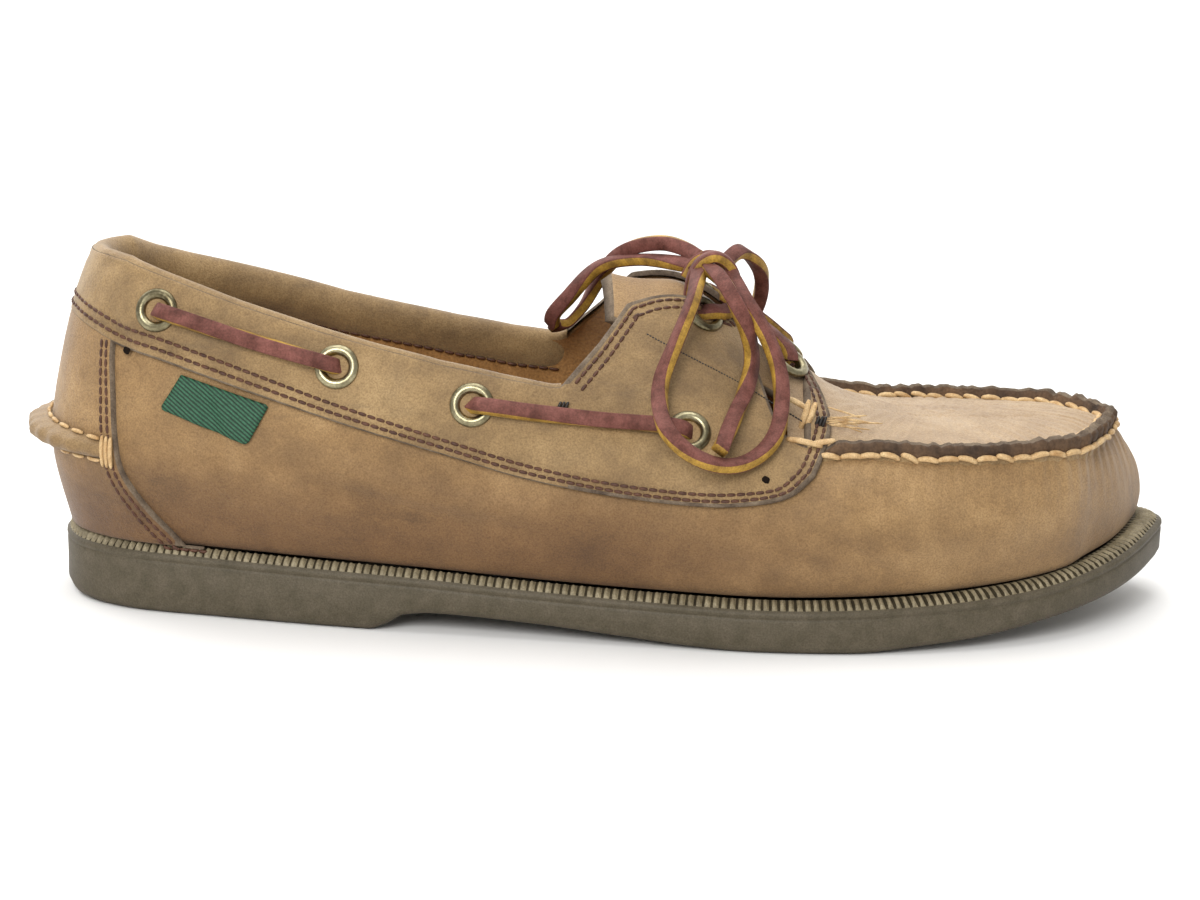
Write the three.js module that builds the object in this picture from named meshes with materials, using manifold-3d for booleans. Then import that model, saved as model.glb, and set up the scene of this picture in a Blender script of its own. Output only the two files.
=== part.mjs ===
// Boat shoe for the right foot: hollow moccasin upper on a moulded rubber sole, with overlays, eyelets
// and laces.
// Millimetres, +X towards the toe, +Y towards the inner (medial) side, +Z up from the floor.
// The origin lies on the floor, at the middle of the flat of the heel.
import * as THREE from 'three';
import { mergeVertices } from 'three/addons/utils/BufferGeometryUtils.js';
import Module from 'manifold-3d';

const wasm = await Module();
wasm.setup();

// Named sizes.

// Last and outsole.
const LENGTH = 300;
const BALL_WIDTH = 100;
const HEEL_HEIGHT = 92;
const INSTEP_HEIGHT = 93;
const TOE_HEIGHT = 52;
const HEEL_FLAT_MIDDLE = 40;

// Outsole heights: rim over the heel and over the ball, lift of the toe, arch, edges.
const HEEL_RIM = 16;
const BALL_RIM = 11.2;
const TOE_RIM = 22.4;
const ARCH_LIFT = 5.2;
const TOE_SPRING = 12.4;
const SOLE_EDGE = 2.2;
const RIM_BEAD = 1.4;
const RIM_STEP = 0.5;
const BAND_RISE = 1.8;
const RIB_PITCH = 2.4;
const RIB_HEIGHT = 0.9;

// Leather and other walls.
const WALL = 2.2;
const OVERLAY = 1.7;
const COUNTER = 1.5;
const TONGUE = 2;
const INSOLE = 3;
const LABEL = 1;
const SEAM_HEIGHT = 3.4;
const SEAM_WIDTH = 3;
const LIP_HEIGHT = 4.5;
const LIP_REACH = 4.3;

// Clearances.
const GAP = 0.3;
const TONGUE_GAP = 0.9;
const EDGE_REVEAL = 0.8;
const BORE_GAP = 0.4;

// Eyelets.
const EYELET_FLANGE = 11.3;
const EYELET_BORE = 6;
const EYELET_WALL = 0.45;
const EYELET_RISE = 1.2;

// Tables, in shares of the named sizes.

const table = (columns, ...rows) => rows.map(
  (row) => Object.fromEntries(columns.map((name, i) => [name, row[i]])),
);

// Edge of the outsole from above, from the back of the heel round the outer side to the toe and back.
const OUTLINE = table(
  ['at', 'across'],
  [0, 0], [0.018, -0.165], [0.065, -0.265], [0.15, -0.325], [0.27, -0.39], [0.4, -0.435],
  [0.52, -0.475], [0.63, -0.505], [0.72, -0.49], [0.82, -0.415], [0.893, -0.31], [0.95, -0.16],
  [0.985, 0], [1, 0.12], [0.98, 0.25], [0.925, 0.37], [0.84, 0.455], [0.74, 0.49],
  [0.64, 0.475], [0.52, 0.405], [0.4, 0.345], [0.28, 0.33], [0.16, 0.325], [0.065, 0.255],
  [0.018, 0.155],
);
const TOE_ROW = 13;

// Rim of the outsole from the side: shares between the heel, ball and toe rims.
const RIM = table(
  ['at', 'heel', 'ball', 'toe'],
  [0, 1.03, 0, 0],
  [0.12, 1, 0, 0],
  [0.3, 0.75, 0.25, 0],
  [0.43, 0.35, 0.65, 0],
  [0.54, 0.1, 0.9, 0],
  [0.63, 0, 1, 0],
  [0.7, 0, 0.96, 0.04],
  [0.78, 0, 0.88, 0.12],
  [0.86, 0, 0.72, 0.28],
  [0.93, 0, 0.42, 0.58],
  [0.975, 0, 0.14, 0.86],
  [1, 0, 0, 1],
);

// Underside from the side: heel flat, breast, arch, flat of the forefoot, toe spring.
const UNDERSIDE = table(
  ['at', 'arch', 'spring'],
  [0, 0.3, 0],
  [0.02, 0.1, 0],
  [0.05, 0, 0],
  [0.283, 0, 0],
  [0.3, 0.35, 0],
  [0.315, 0.85, 0],
  [0.34, 1, 0],
  [0.42, 0.8, 0],
  [0.5, 0.42, 0],
  [0.56, 0.12, 0],
  [0.61, 0, 0],
  [0.7, 0, 0],
  [0.75, 0, 0.1],
  [0.81, 0, 0.23],
  [0.87, 0, 0.45],
  [0.93, 0, 0.68],
  [0.97, 0, 0.87],
  [1, 0, 1],
);

// Feather line, where the upper meets the outsole: its distance in from the outsole's edge.
const FEATHER = table(
  ['at', 'inset'],
  [0, 0.03], [0.3, 0.032], [0.6, 0.045], [0.85, 0.053], [0.95, 0.062], [1, 0.072],
);

// Crest of the last from the side, over its middle line, and the bend of that line from above.
const CREST = table(
  ['at', 'heel', 'instep', 'toe', 'across'],
  [0.087, 1.2, 0, 0, 0.01],
  [0.26, 0.8, 0.36, 0, -0.005],
  [0.38, 0.4, 0.71, 0, -0.01],
  [0.45, 0.2, 0.85, 0, -0.01],
  [0.533, 0, 0.985, 0, -0.01],
  [0.6, 0, 0.86, 0, -0.01],
  [0.65, 0, 0.5, 0.4, -0.02],
  [0.69, 0, 0.2, 0.76, -0.04],
  [0.72, 0, 0.06, 0.94, -0.05],
  [0.76, 0, 0, 1.01, -0.045],
  [0.82, 0, 0, 1, -0.02],
  [0.893, 0, 0, 1, 0.02],
);
const HEEL_TURN = 0.087;
const TOE_TURN = 0.893;

// Half sections of the last: belly, side, shoulder and roof. In is the share of the way from the feather
// line to the middle line, up the share of the way from the feather line to the crest.
const SECTION_COLUMNS = [
  'at', 'bellyIn', 'bellyUp', 'sideIn', 'sideUp', 'shoulderIn', 'shoulderUp', 'roofIn', 'roofUp',
];
const LATERAL = table(
  SECTION_COLUMNS,
  [0.01, -0.2, 0.24, -0.08, 0.48, 0.18, 0.72, 0.52, 0.89],
  [0.15, -0.19, 0.24, -0.13, 0.46, 0.08, 0.71, 0.46, 0.9],
  [0.26, -0.14, 0.235, -0.1, 0.45, 0.07, 0.66, 0.48, 0.91],
  [0.38, -0.1, 0.235, -0.065, 0.42, 0.065, 0.595, 0.5, 0.875],
  [0.45, -0.11, 0.25, -0.06, 0.43, 0.09, 0.6, 0.53, 0.855],
  [0.533, -0.11, 0.265, -0.03, 0.44, 0.32, 0.72, 0.625, 0.91],
  [0.6, -0.1, 0.285, -0.015, 0.46, 0.325, 0.69, 0.71, 0.9],
  [0.65, -0.09, 0.35, 0.01, 0.53, 0.205, 0.69, 0.64, 0.9],
  [0.69, -0.09, 0.42, 0, 0.64, 0.205, 0.81, 0.62, 0.945],
  [0.72, -0.09, 0.45, 0.01, 0.69, 0.205, 0.89, 0.59, 0.965],
  [0.8, -0.1, 0.46, -0.03, 0.73, 0.11, 0.92, 0.55, 0.985],
  [0.88, -0.115, 0.46, -0.065, 0.74, 0.085, 0.93, 0.47, 0.99],
  [0.985, -0.04, 0.25, 0.06, 0.55, 0.41, 0.93, 0.71, 0.99],
);
const MEDIAL = table(
  SECTION_COLUMNS,
  [0.01, -0.2, 0.24, -0.08, 0.48, 0.18, 0.72, 0.52, 0.89],
  [0.15, -0.17, 0.24, -0.14, 0.46, 0.05, 0.69, 0.45, 0.89],
  [0.26, -0.18, 0.25, -0.19, 0.45, -0.06, 0.64, 0.39, 0.9],
  [0.38, -0.21, 0.28, -0.21, 0.45, -0.1, 0.61, 0.36, 0.875],
  [0.45, -0.19, 0.285, -0.19, 0.45, -0.06, 0.61, 0.43, 0.87],
  [0.533, -0.145, 0.265, -0.1, 0.44, 0.21, 0.72, 0.58, 0.92],
  [0.6, -0.105, 0.3, -0.035, 0.48, 0.28, 0.7, 0.66, 0.9],
  [0.65, -0.09, 0.365, -0.01, 0.57, 0.29, 0.74, 0.66, 0.91],
  [0.69, -0.07, 0.44, 0.03, 0.71, 0.35, 0.865, 0.67, 0.965],
  [0.72, -0.07, 0.47, 0.04, 0.75, 0.35, 0.915, 0.67, 0.985],
  [0.8, -0.08, 0.46, 0.01, 0.76, 0.265, 0.945, 0.655, 0.99],
  [0.88, -0.085, 0.46, 0.03, 0.75, 0.26, 0.94, 0.655, 0.99],
  [0.985, -0.04, 0.25, 0.06, 0.55, 0.41, 0.93, 0.71, 0.99],
);

// Lines seen from the side have heights in shares of the crest over the same place.
// Top line of the collar, outer and inner, then the rear edge of the eyestay up to the instep.
const TOPLINE = table(
  ['at', 'outer', 'inner'],
  [-0.1, 0.8333, 0.8333], [0.03, 0.8333, 0.8333], [0.065, 0.8275, 0.8042], [0.1, 0.8059, 0.7809],
  [0.137, 0.7813, 0.7603], [0.172, 0.7578, 0.7392], [0.24, 0.7176, 0.6971], [0.293, 0.6909, 0.6753],
  [0.344, 0.6681, 0.6567], [0.395, 0.6606, 0.6489], [0.438, 0.6612, 0.6547],
);
const EYESTAY_REAR = table(
  ['at', 'up'],
  [0.446, 0.666], [0.459, 0.7163], [0.476, 0.7816], [0.489, 0.8411], [0.503, 0.9066], [0.517, 0.9604],
  [0.53, 1.076],
);

// Throat from above: half width of the slot between the two eyestays.
const THROAT = table(
  ['at', 'half'],
  [0.44, 0.22], [0.5, 0.19], [0.52, 0.165], [0.573, 0.11], [0.6, 0.085], [0.637, 0.05], [0.652, 0.025],
);

// Lower edge of the collar band and eyestay from the side, then the front edge of the eyestay.
const BAND_LOWER = table(
  ['at', 'up'],
  [-0.1, 0.6875], [0.01, 0.6833], [0.048, 0.6542], [0.068, 0.6375], [0.104, 0.6168], [0.14, 0.5934],
  [0.203, 0.552], [0.262, 0.514], [0.355, 0.4601], [0.414, 0.4338], [0.482, 0.4249], [0.549, 0.4238],
  [0.599, 0.478], [0.641, 0.5812], [0.662, 0.6954],
);
const EYESTAY_FRONT = table(
  ['at', 'up'],
  [0.672, 0.8049], [0.678, 0.8925], [0.674, 0.9475], [0.665, 0.9807], [0.652, 1.0162], [0.635, 1.0485],
  [0.6, 1.1628],
);
const MEDIAL_JOINT = 0.197;

// Front edge of the heel counter from the side.
const COUNTER_FRONT = table(
  ['at', 'up'],
  [0.06, 0.6667], [0.061, 0.6], [0.064, 0.5167], [0.067, 0.425], [0.072, 0.35], [0.092, 0.2627],
  [0.119, 0.1801], [0.14, 0.0841],
);

// Tongue from above.
const TONGUE_PLAN = table(
  ['at', 'half'],
  [0.478, 0.2], [0.5, 0.215], [0.56, 0.2], [0.62, 0.18], [0.66, 0.16], [0.675, 0.13],
);

// Eyelets from the side.
const EYELETS = table(
  ['name', 'at', 'up'],
  ['collar_rear', 0.1016, 0.7251],
  ['collar_middle', 0.258, 0.6406],
  ['collar_front', 0.3726, 0.5862],
  ['side', 0.5543, 0.6075],
  ['throat_rear', 0.5642, 0.9062],
  ['throat_front', 0.6419, 0.9642],
);

// Label tab from the side: four corners under the edge of the collar band.
const LABEL_CORNERS = table(
  ['at', 'up'],
  [0.123, 0.5885], [0.1047, 0.5057], [0.1815, 0.4425], [0.2, 0.539],
);

// Lip round the back of the heel: how far it stands out at a run along the edge from the middle of the heel.
const LIP_RUN = table(
  ['along', 'reach'],
  [0, 1], [0.02, 0.97], [0.045, 0.86], [0.07, 0.68], [0.095, 0.44], [0.112, 0.24],
);
const LIP_LEVEL = 0.4083;

// Run of the lace from one eyelet to the next: millimetres along from the bore, lift over the overlay.
const LACE = 3.6;
const BAR_ENDS = table(['along', 'lift'], [0, -1.2], [0, 0.6], [1.3, 3.3], [5, 4.7], [10, 3.6], [16, 2.6]);
const CROSS_RUN = table(
  ['across', 'lift'],
  [0.14, 4.4], [0.3, 5.4], [0.5, 6.2], [0.7, 5.4], [0.86, 4.4],
);
const LACE_SIDES = 8;

// The bow: cord points as shares of length, ball width and instep height. The near loop and end lie over
// the outer eyestay, the far loop hangs over the collar's opening behind the tongue, the far end over the
// inner eyestay.
const CORD_COLUMNS = ['at', 'across', 'up'];
const KNOT = { at: 0.57, across: -0.05, up: 0.9823 };
const NEAR_LOOP = table(
  CORD_COLUMNS,
  [0.563, -0.108, 0.982], [0.555, -0.3, 0.9249], [0.542, -0.352, 0.826], [0.531, -0.392, 0.736],
  [0.53, -0.47, 0.6727], [0.537, -0.545, 0.6272], [0.555, -0.56, 0.5767], [0.581, -0.52, 0.5352],
  [0.602, -0.478, 0.5322], [0.619, -0.441, 0.5599], [0.63, -0.398, 0.6054], [0.634, -0.332, 0.6737],
  [0.632, -0.285, 0.7419], [0.624, -0.26, 0.8112], [0.612, -0.25, 0.8804], [0.602, -0.215, 0.9249],
  [0.589, -0.083, 0.982],
);
const NEAR_END = table(
  CORD_COLUMNS,
  [0.581, -0.22, 0.9794], [0.593, -0.27, 0.9249], [0.604, -0.265, 0.8468], [0.609, -0.25, 0.7667],
  [0.605, -0.304, 0.7073], [0.594, -0.391, 0.643], [0.58, -0.51, 0.5738],
);
const FAR_LOOP = table(
  CORD_COLUMNS,
  [0.5505, -0.02, 0.9843], [0.512, 0.1, 0.9744], [0.476, 0.16, 0.9398], [0.448, 0.2, 0.8369],
  [0.434, 0.225, 0.7667], [0.444, 0.25, 0.7568], [0.459, 0.235, 0.8211], [0.479, 0.21, 0.9249],
  [0.503, 0.14, 0.9991], [0.532, 0.08, 1.0387], [0.553, 0.02, 1.0407],
);
const FAR_END = table(
  CORD_COLUMNS,
  [0.584, -0.015, 0.9843], [0.602, 0.085, 1.009], [0.622, 0.17, 0.9398], [0.623, 0.25, 0.826],
  [0.606, 0.34, 0.7024], [0.589, 0.415, 0.6183],
);

// Curves of the last.

// Smooth curve through the rows of a table that never overshoots between two of them.
function through(rows, column) {
  const xs = rows.map((row) => row.at);
  const ys = rows.map((row) => row[column]);
  const last = xs.length - 1;
  const slopes = xs.slice(0, last).map((x, i) => (ys[i + 1] - ys[i]) / (xs[i + 1] - x));
  const tangents = ys.map((y, i) => {
    if (i === 0) return slopes[0];
    if (i === last) return slopes[last - 1];
    const [a, b] = [slopes[i - 1], slopes[i]];
    return a * b <= 0 ? 0 : (2 * a * b) / (a + b);
  });
  return (at) => {
    if (at <= xs[0]) return ys[0];
    if (at >= xs[last]) return ys[last];
    const i = xs.findIndex((x) => x > at) - 1;
    const width = xs[i + 1] - xs[i];
    const t = (at - xs[i]) / width;
    const s = 1 - t;
    return ys[i] * s * s * (1 + 2 * t) + ys[i + 1] * t * t * (3 - 2 * t)
      + width * (tangents[i] * t * s * s - tangents[i + 1] * t * t * s);
  };
}

const rimParts = ['heel', 'ball', 'toe'].map((column) => through(RIM, column));
const rimHeight = (x) => HEEL_RIM * rimParts[0](x / LENGTH) + BALL_RIM * rimParts[1](x / LENGTH)
  + TOE_RIM * rimParts[2](x / LENGTH);
const seatHeight = (x) => rimHeight(x) + BAND_RISE;
const archShare = through(UNDERSIDE, 'arch');
const springShare = through(UNDERSIDE, 'spring');
const underside = (x) => ARCH_LIFT * archShare(x / LENGTH) + TOE_SPRING * springShare(x / LENGTH);
const featherShare = through(FEATHER, 'inset');
const featherInset = (x) => BALL_WIDTH * featherShare(x / LENGTH);
const crestParts = ['heel', 'instep', 'toe', 'across'].map((column) => through(CREST, column));
const crestHeight = (x) => HEEL_HEIGHT * crestParts[0](x / LENGTH) + INSTEP_HEIGHT * crestParts[1](x / LENGTH)
  + TOE_HEIGHT * crestParts[2](x / LENGTH);
const middleLine = (x) => BALL_WIDTH * crestParts[3](x / LENGTH);

// The outsole's edge as a fine polyline, with its running length.
const outlineCurve = new THREE.CatmullRomCurve3(
  OUTLINE.map((row) => new THREE.Vector3(row.at * LENGTH, row.across * BALL_WIDTH, 0)),
  true,
  'centripetal',
);
const EDGE_STEPS = 1000;
const edge = outlineCurve.getPoints(EDGE_STEPS);
const edgeLength = [0];
edge.slice(1).forEach((point, i) => edgeLength.push(edgeLength[i] + point.distanceTo(edge[i])));
const PERIMETER = edgeLength[EDGE_STEPS];
const toeIndex = Math.round((TOE_ROW / OUTLINE.length) * EDGE_STEPS);
const TOE_RUN = edgeLength[toeIndex];

// Point of the edge at a running length, with its inward normal.
function edgeAt(run) {
  const s = ((run % PERIMETER) + PERIMETER) % PERIMETER;
  const i = Math.min(edgeLength.findIndex((length) => length > s), EDGE_STEPS) - 1;
  const t = (s - edgeLength[i]) / (edgeLength[i + 1] - edgeLength[i]);
  const point = edge[i].clone().lerp(edge[i + 1], t);
  const before = edge[(i + EDGE_STEPS - 3) % EDGE_STEPS];
  const after = edge[(i + 4) % EDGE_STEPS];
  const along = after.clone().sub(before).normalize();
  return { run: s, x: point.x, y: point.y, inward: new THREE.Vector2(-along.y, along.x) };
}

// Running length where the edge crosses a station x, on the outer or the inner side.
function runAt(x, outer) {
  const from = outer ? 0 : toeIndex;
  const to = outer ? toeIndex : EDGE_STEPS;
  for (let i = from; i < to; i += 1) {
    const [a, b] = [edge[i].x, edge[i + 1].x];
    const crosses = outer ? a <= x && b > x : a >= x && b < x;
    if (crosses) return edgeLength[i] + (edgeLength[i + 1] - edgeLength[i]) * ((x - a) / (b - a));
  }
  return outer ? TOE_RUN : PERIMETER;
}

// Stations round the edge, in pairs that share one x between the two turns, fanned out round heel and toe.
function stationsRound(middles, heelCount, toeCount) {
  const first = middles[0];
  const lastX = middles[middles.length - 1];
  const outer = [];
  const inner = [];
  for (let k = 1; k < heelCount; k += 1) {
    outer.push(edgeAt((runAt(first, true) * k) / heelCount));
    inner.push(edgeAt(PERIMETER - ((PERIMETER - runAt(first, false)) * k) / heelCount));
  }
  middles.forEach((x) => {
    outer.push({ ...edgeAt(runAt(x, true)), x });
    inner.push({ ...edgeAt(runAt(x, false)), x });
  });
  for (let k = 1; k < toeCount; k += 1) {
    const a = runAt(lastX, true);
    const b = runAt(lastX, false);
    outer.push(edgeAt(a + ((TOE_RUN - a) * k) / toeCount));
    inner.push(edgeAt(b - ((b - TOE_RUN) * k) / toeCount));
  }
  return [edgeAt(0), ...outer, edgeAt(TOE_RUN), ...inner.reverse()];
}

// Even stations along the middle of the shoe between the turns of heel and toe.
const steps = (from, to, count) => Array.from(
  { length: count + 1 },
  (_, i) => from + ((to - from) * i) / count,
);

// Making of solids.

// Triangles between two rings of the same stations, the first one below.
function bandBetween(low, high, count) {
  const faces = [];
  for (let i = 0; i < count; i += 1) {
    const j = (i + 1) % count;
    faces.push([low + i, low + j, high + j], [low + i, high + j, high + i]);
  }
  return faces;
}

// Triangles across a ring of paired stations, facing up or down.
function capAcross(start, count, up) {
  const pairs = (count - 2) / 2;
  const inner = (k) => start + count - k;
  const outer = (k) => start + k;
  const faces = [[start, outer(1), inner(1)]];
  for (let k = 1; k < pairs; k += 1) {
    faces.push([outer(k), outer(k + 1), inner(k + 1)], [outer(k), inner(k + 1), inner(k)]);
  }
  faces.push([outer(pairs), start + pairs + 1, inner(pairs)]);
  return up ? faces : faces.map(([a, b, c]) => [a, c, b]);
}

// Solid from points and faces: equal points are merged and empty faces dropped.
function solidFrom(points, faces) {
  const geometry = new THREE.BufferGeometry();
  const numbers = points.flatMap((p) => [p.x, p.y, p.z]);
  geometry.setAttribute('position', new THREE.Float32BufferAttribute(numbers, 3));
  geometry.setIndex(faces.flat());
  return solidOf(geometry);
}

function solidOf(source) {
  const geometry = source.clone();
  geometry.deleteAttribute('normal');
  geometry.deleteAttribute('uv');
  const merged = mergeVertices(geometry, 1e-4);
  const index = Array.from(merged.index.array);
  const kept = [];
  for (let i = 0; i < index.length; i += 3) {
    const [a, b, c] = index.slice(i, i + 3);
    if (a !== b && b !== c && c !== a) kept.push(a, b, c);
  }
  return new wasm.Manifold(new wasm.Mesh({
    numProp: 3,
    vertProperties: Float32Array.from(merged.attributes.position.array),
    triVerts: Uint32Array.from(kept),
  }));
}

// Rings of paired stations, from the lowest to the highest, closed by caps.
function stack(rings) {
  const count = rings[0].length;
  const faces = capAcross(0, count, false);
  for (let k = 0; k + 1 < rings.length; k += 1) faces.push(...bandBetween(k * count, (k + 1) * count, count));
  faces.push(...capAcross((rings.length - 1) * count, count, true));
  return solidFrom(rings.flat(), faces);
}

// Prism seen from the side (x, z), from one y to another.
function sidePrism(outline, yFrom, yTo) {
  const shape = new THREE.Shape(outline.map(([x, z]) => new THREE.Vector2(x, z)));
  const geometry = new THREE.ExtrudeGeometry(shape, { depth: yTo - yFrom, bevelEnabled: false, steps: 1 });
  geometry.rotateX(Math.PI / 2);
  geometry.translate(0, yTo, 0);
  return solidOf(geometry);
}

// Prism seen from above (x, y), from one z to another.
function planPrism(outline, zFrom, zTo) {
  const shape = new THREE.Shape(outline.map(([x, y]) => new THREE.Vector2(x, y)));
  const geometry = new THREE.ExtrudeGeometry(shape, { depth: zTo - zFrom, bevelEnabled: false, steps: 1 });
  geometry.translate(0, 0, zFrom);
  return solidOf(geometry);
}

// Form of the last.

const SECTION_POINTS = ['belly', 'side', 'shoulder', 'roof'];
const sectionShares = [LATERAL, MEDIAL].map((rows) => SECTION_POINTS.map((name) => ({
  inward: through(rows, `${name}In`),
  upward: through(rows, `${name}Up`),
})));
const ROWS_PER_SPAN = 2;
const SPANS = SECTION_POINTS.length + 1;
const SHOULDER_ROW = 3 * ROWS_PER_SPAN;

// Foot of the wall at a station of the edge, and the point of the crest that its section ends on.
function footOf(station) {
  const inset = featherInset(station.x);
  const x = station.x + station.inward.x * inset;
  const y = station.y + station.inward.y * inset;
  return new THREE.Vector3(x, y, seatHeight(x) + GAP);
}
function crestOf(x) {
  const at = Math.min(Math.max(x, HEEL_TURN * LENGTH), TOE_TURN * LENGTH);
  return new THREE.Vector3(at, middleLine(at), crestHeight(at));
}

// Half section as a curve from foot to crest; the curve goes on past the crest so that it arrives level.
function sectionCurve(foot, crest, outer, at) {
  const shares = sectionShares[outer ? 0 : 1];
  const points = [foot];
  shares.forEach(({ inward, upward }) => {
    const point = foot.clone().lerp(crest, inward(at));
    point.z = THREE.MathUtils.lerp(foot.z, crest.z, upward(at));
    points.push(point);
  });
  const roof = points[points.length - 1];
  const past = crest.clone().multiplyScalar(2).sub(roof);
  past.z = roof.z;
  points.push(crest, past);
  return new THREE.CatmullRomCurve3(points, false, 'centripetal');
}
const sectionAt = (curve, row) => curve.getPoint(row / (SPANS + 1));

// Stations of the form: the feet between the turns share one x in pairs.
const FORM_MIDDLES = 20;
const formStations = stationsRound(steps(HEEL_TURN * LENGTH, TOE_TURN * LENGTH, FORM_MIDDLES), 5, 6);
const FORM_COUNT = formStations.length;
const FORM_ROWS = SPANS * ROWS_PER_SPAN;
const isOuter = (station) => station.run <= TOE_RUN;
const isMiddle = (station) => station.x >= HEEL_TURN * LENGTH - 1e-6 && station.x <= TOE_TURN * LENGTH + 1e-6;
const formSections = formStations.map((station) => {
  const foot = footOf(station);
  if (isMiddle(station)) {
    foot.x = station.x;
    foot.z = seatHeight(station.x) + GAP;
  }
  return sectionCurve(foot, crestOf(station.x), isOuter(station), station.x / LENGTH);
});
const formGrid = Array.from({ length: FORM_ROWS + 1 }, (_, row) => formSections.map(
  (curve) => sectionAt(curve, row / ROWS_PER_SPAN),
));
const formNormals = formGrid.map((ring, row) => ring.map((point, i) => {
  if (row === FORM_ROWS) return new THREE.Vector3(0, 0, 1);
  const along = ring[(i + 1) % FORM_COUNT].clone().sub(ring[(i + FORM_COUNT - 1) % FORM_COUNT]);
  const below = formGrid[Math.max(row - 1, 0)][i];
  const above = formGrid[row + 1][i];
  return along.cross(above.clone().sub(below)).normalize();
}));

// The form grown outwards, or shrunk by a negative distance, with its open foot carried down by a drop.
function formAt(distance, drop) {
  const rings = formGrid.map((ring, row) => ring.map(
    (point, i) => point.clone().addScaledVector(formNormals[row][i], distance),
  ));
  rings[0].forEach((point, i) => {
    point.z = formGrid[0][i].z;
  });
  if (drop > 0) {
    rings.unshift(rings[0].map((point) => new THREE.Vector3(point.x, point.y, point.z - drop)));
  }
  const faces = capAcross(0, FORM_COUNT, false);
  for (let k = 0; k + 1 < rings.length; k += 1) {
    faces.push(...bandBetween(k * FORM_COUNT, (k + 1) * FORM_COUNT, FORM_COUNT));
  }
  return solidFrom(rings.flat(), faces);
}

// Row at which a section reaches a height.
function rowAtHeight(curve, z) {
  let low = 0.4;
  let high = SPANS;
  for (let i = 0; i < 40; i += 1) {
    const middle = (low + high) / 2;
    if (sectionAt(curve, middle).z < z) low = middle;
    else high = middle;
  }
  return low;
}

// Point of the form at a station x and a height z on one side, lifted off along the normal.
function onSide(x, z, outer, lift) {
  const sectionOf = (at) => {
    const station = { ...edgeAt(runAt(at, outer)), x: at };
    const foot = footOf(station);
    foot.x = at;
    foot.z = seatHeight(at) + GAP;
    return sectionCurve(foot, crestOf(at), outer, at / LENGTH);
  };
  const here = sectionOf(x);
  const low = rowAtHeight(here, z);
  const point = sectionAt(here, low);
  const along = sectionAt(sectionOf(x + 1), low).sub(sectionAt(sectionOf(x - 1), low));
  const upward = sectionAt(here, low + 0.02).sub(sectionAt(here, low - 0.02));
  const normal = along.cross(upward).normalize().multiplyScalar(outer ? 1 : -1);
  return { point: point.addScaledVector(normal, lift), normal };
}

// Outsole.

const SOLE_MIDDLES = [
  ...steps(0.07, 0.283, 6), 0.3, 0.315, 0.34, ...steps(0.38, TOE_TURN, 14),
].map((at) => at * LENGTH);
const soleStations = stationsRound(SOLE_MIDDLES, 6, 8);
const soleRing = (inset, height) => soleStations.map((station) => {
  const distance = typeof inset === 'function' ? inset(station.x) : inset;
  const x = station.x + station.inward.x * distance;
  const y = station.y + station.inward.y * distance;
  return new THREE.Vector3(x, y, height(station.x, x));
});
const soleRings = [
  soleRing(SOLE_EDGE, (x) => underside(x)),
  soleRing(SOLE_EDGE * 0.3, (x) => underside(x) + SOLE_EDGE * 0.3),
  soleRing(0, (x) => underside(x) + SOLE_EDGE),
  soleRing(0, (x) => rimHeight(x) - RIM_BEAD * 1.6),
  soleRing(RIM_STEP, (x) => rimHeight(x) - RIM_BEAD * 1.3),
  soleRing(0, (x) => rimHeight(x) - RIM_BEAD),
  soleRing(0, (x) => rimHeight(x) - RIM_BEAD * 0.3),
  soleRing(RIM_BEAD * 0.4, (x) => rimHeight(x)),
];
const featherRing = soleRing(featherInset, (x, inner) => seatHeight(inner));

// Ribs: every second point of a fine ring, half way up the band, stands proud.
const RIBS = Math.round(PERIMETER / RIB_PITCH);
const ribRing = Array.from({ length: RIBS * 2 }, (_, i) => {
  const station = edgeAt((PERIMETER * i) / (RIBS * 2));
  const inset = (RIM_BEAD * 0.4 + featherInset(station.x)) / 2;
  const x = station.x + station.inward.x * inset;
  const y = station.y + station.inward.y * inset;
  const level = (rimHeight(station.x) + seatHeight(x)) / 2;
  return { run: station.run, point: new THREE.Vector3(x, y, level + (i % 2 ? RIB_HEIGHT : 0)) };
});

// Triangles between a coarse and a fine ring, taken in the order of their running lengths.
function zip(coarseStart, coarseRuns, fineStart, fineRuns, coarseBelow) {
  const faces = [];
  const wrap = (runs, i) => (i < runs.length ? runs[i] : runs[0] + PERIMETER);
  let i = 0;
  let j = 0;
  while (i < coarseRuns.length || j < fineRuns.length) {
    const a = coarseStart + (i % coarseRuns.length);
    const b = fineStart + (j % fineRuns.length);
    const coarseNext = i < coarseRuns.length ? wrap(coarseRuns, i + 1) : Infinity;
    const fineNext = j < fineRuns.length ? wrap(fineRuns, j + 1) : Infinity;
    let face;
    if (coarseNext < fineNext) {
      face = [a, coarseStart + ((i + 1) % coarseRuns.length), b];
      i += 1;
    } else {
      face = [a, fineStart + ((j + 1) % fineRuns.length), b];
      j += 1;
    }
    faces.push(coarseBelow ? face : [face[0], face[2], face[1]]);
  }
  return faces;
}

function makeOutsole() {
  const count = soleStations.length;
  const points = [...soleRings.flat(), ...ribRing.map((rib) => rib.point), ...featherRing];
  const faces = capAcross(0, count, false);
  for (let k = 0; k + 1 < soleRings.length; k += 1) {
    faces.push(...bandBetween(k * count, (k + 1) * count, count));
  }
  const beadStart = (soleRings.length - 1) * count;
  const ribStart = soleRings.length * count;
  const featherStart = ribStart + ribRing.length;
  const runs = soleStations.map((station) => station.run);
  const ribRuns = ribRing.map((rib) => rib.run);
  faces.push(...zip(beadStart, runs, ribStart, ribRuns, true));
  faces.push(...zip(featherStart, runs, ribStart, ribRuns, false));
  faces.push(...capAcross(featherStart, count, true));
  return solidFrom(points, faces);
}

// Upper, tongue and insole.

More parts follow.
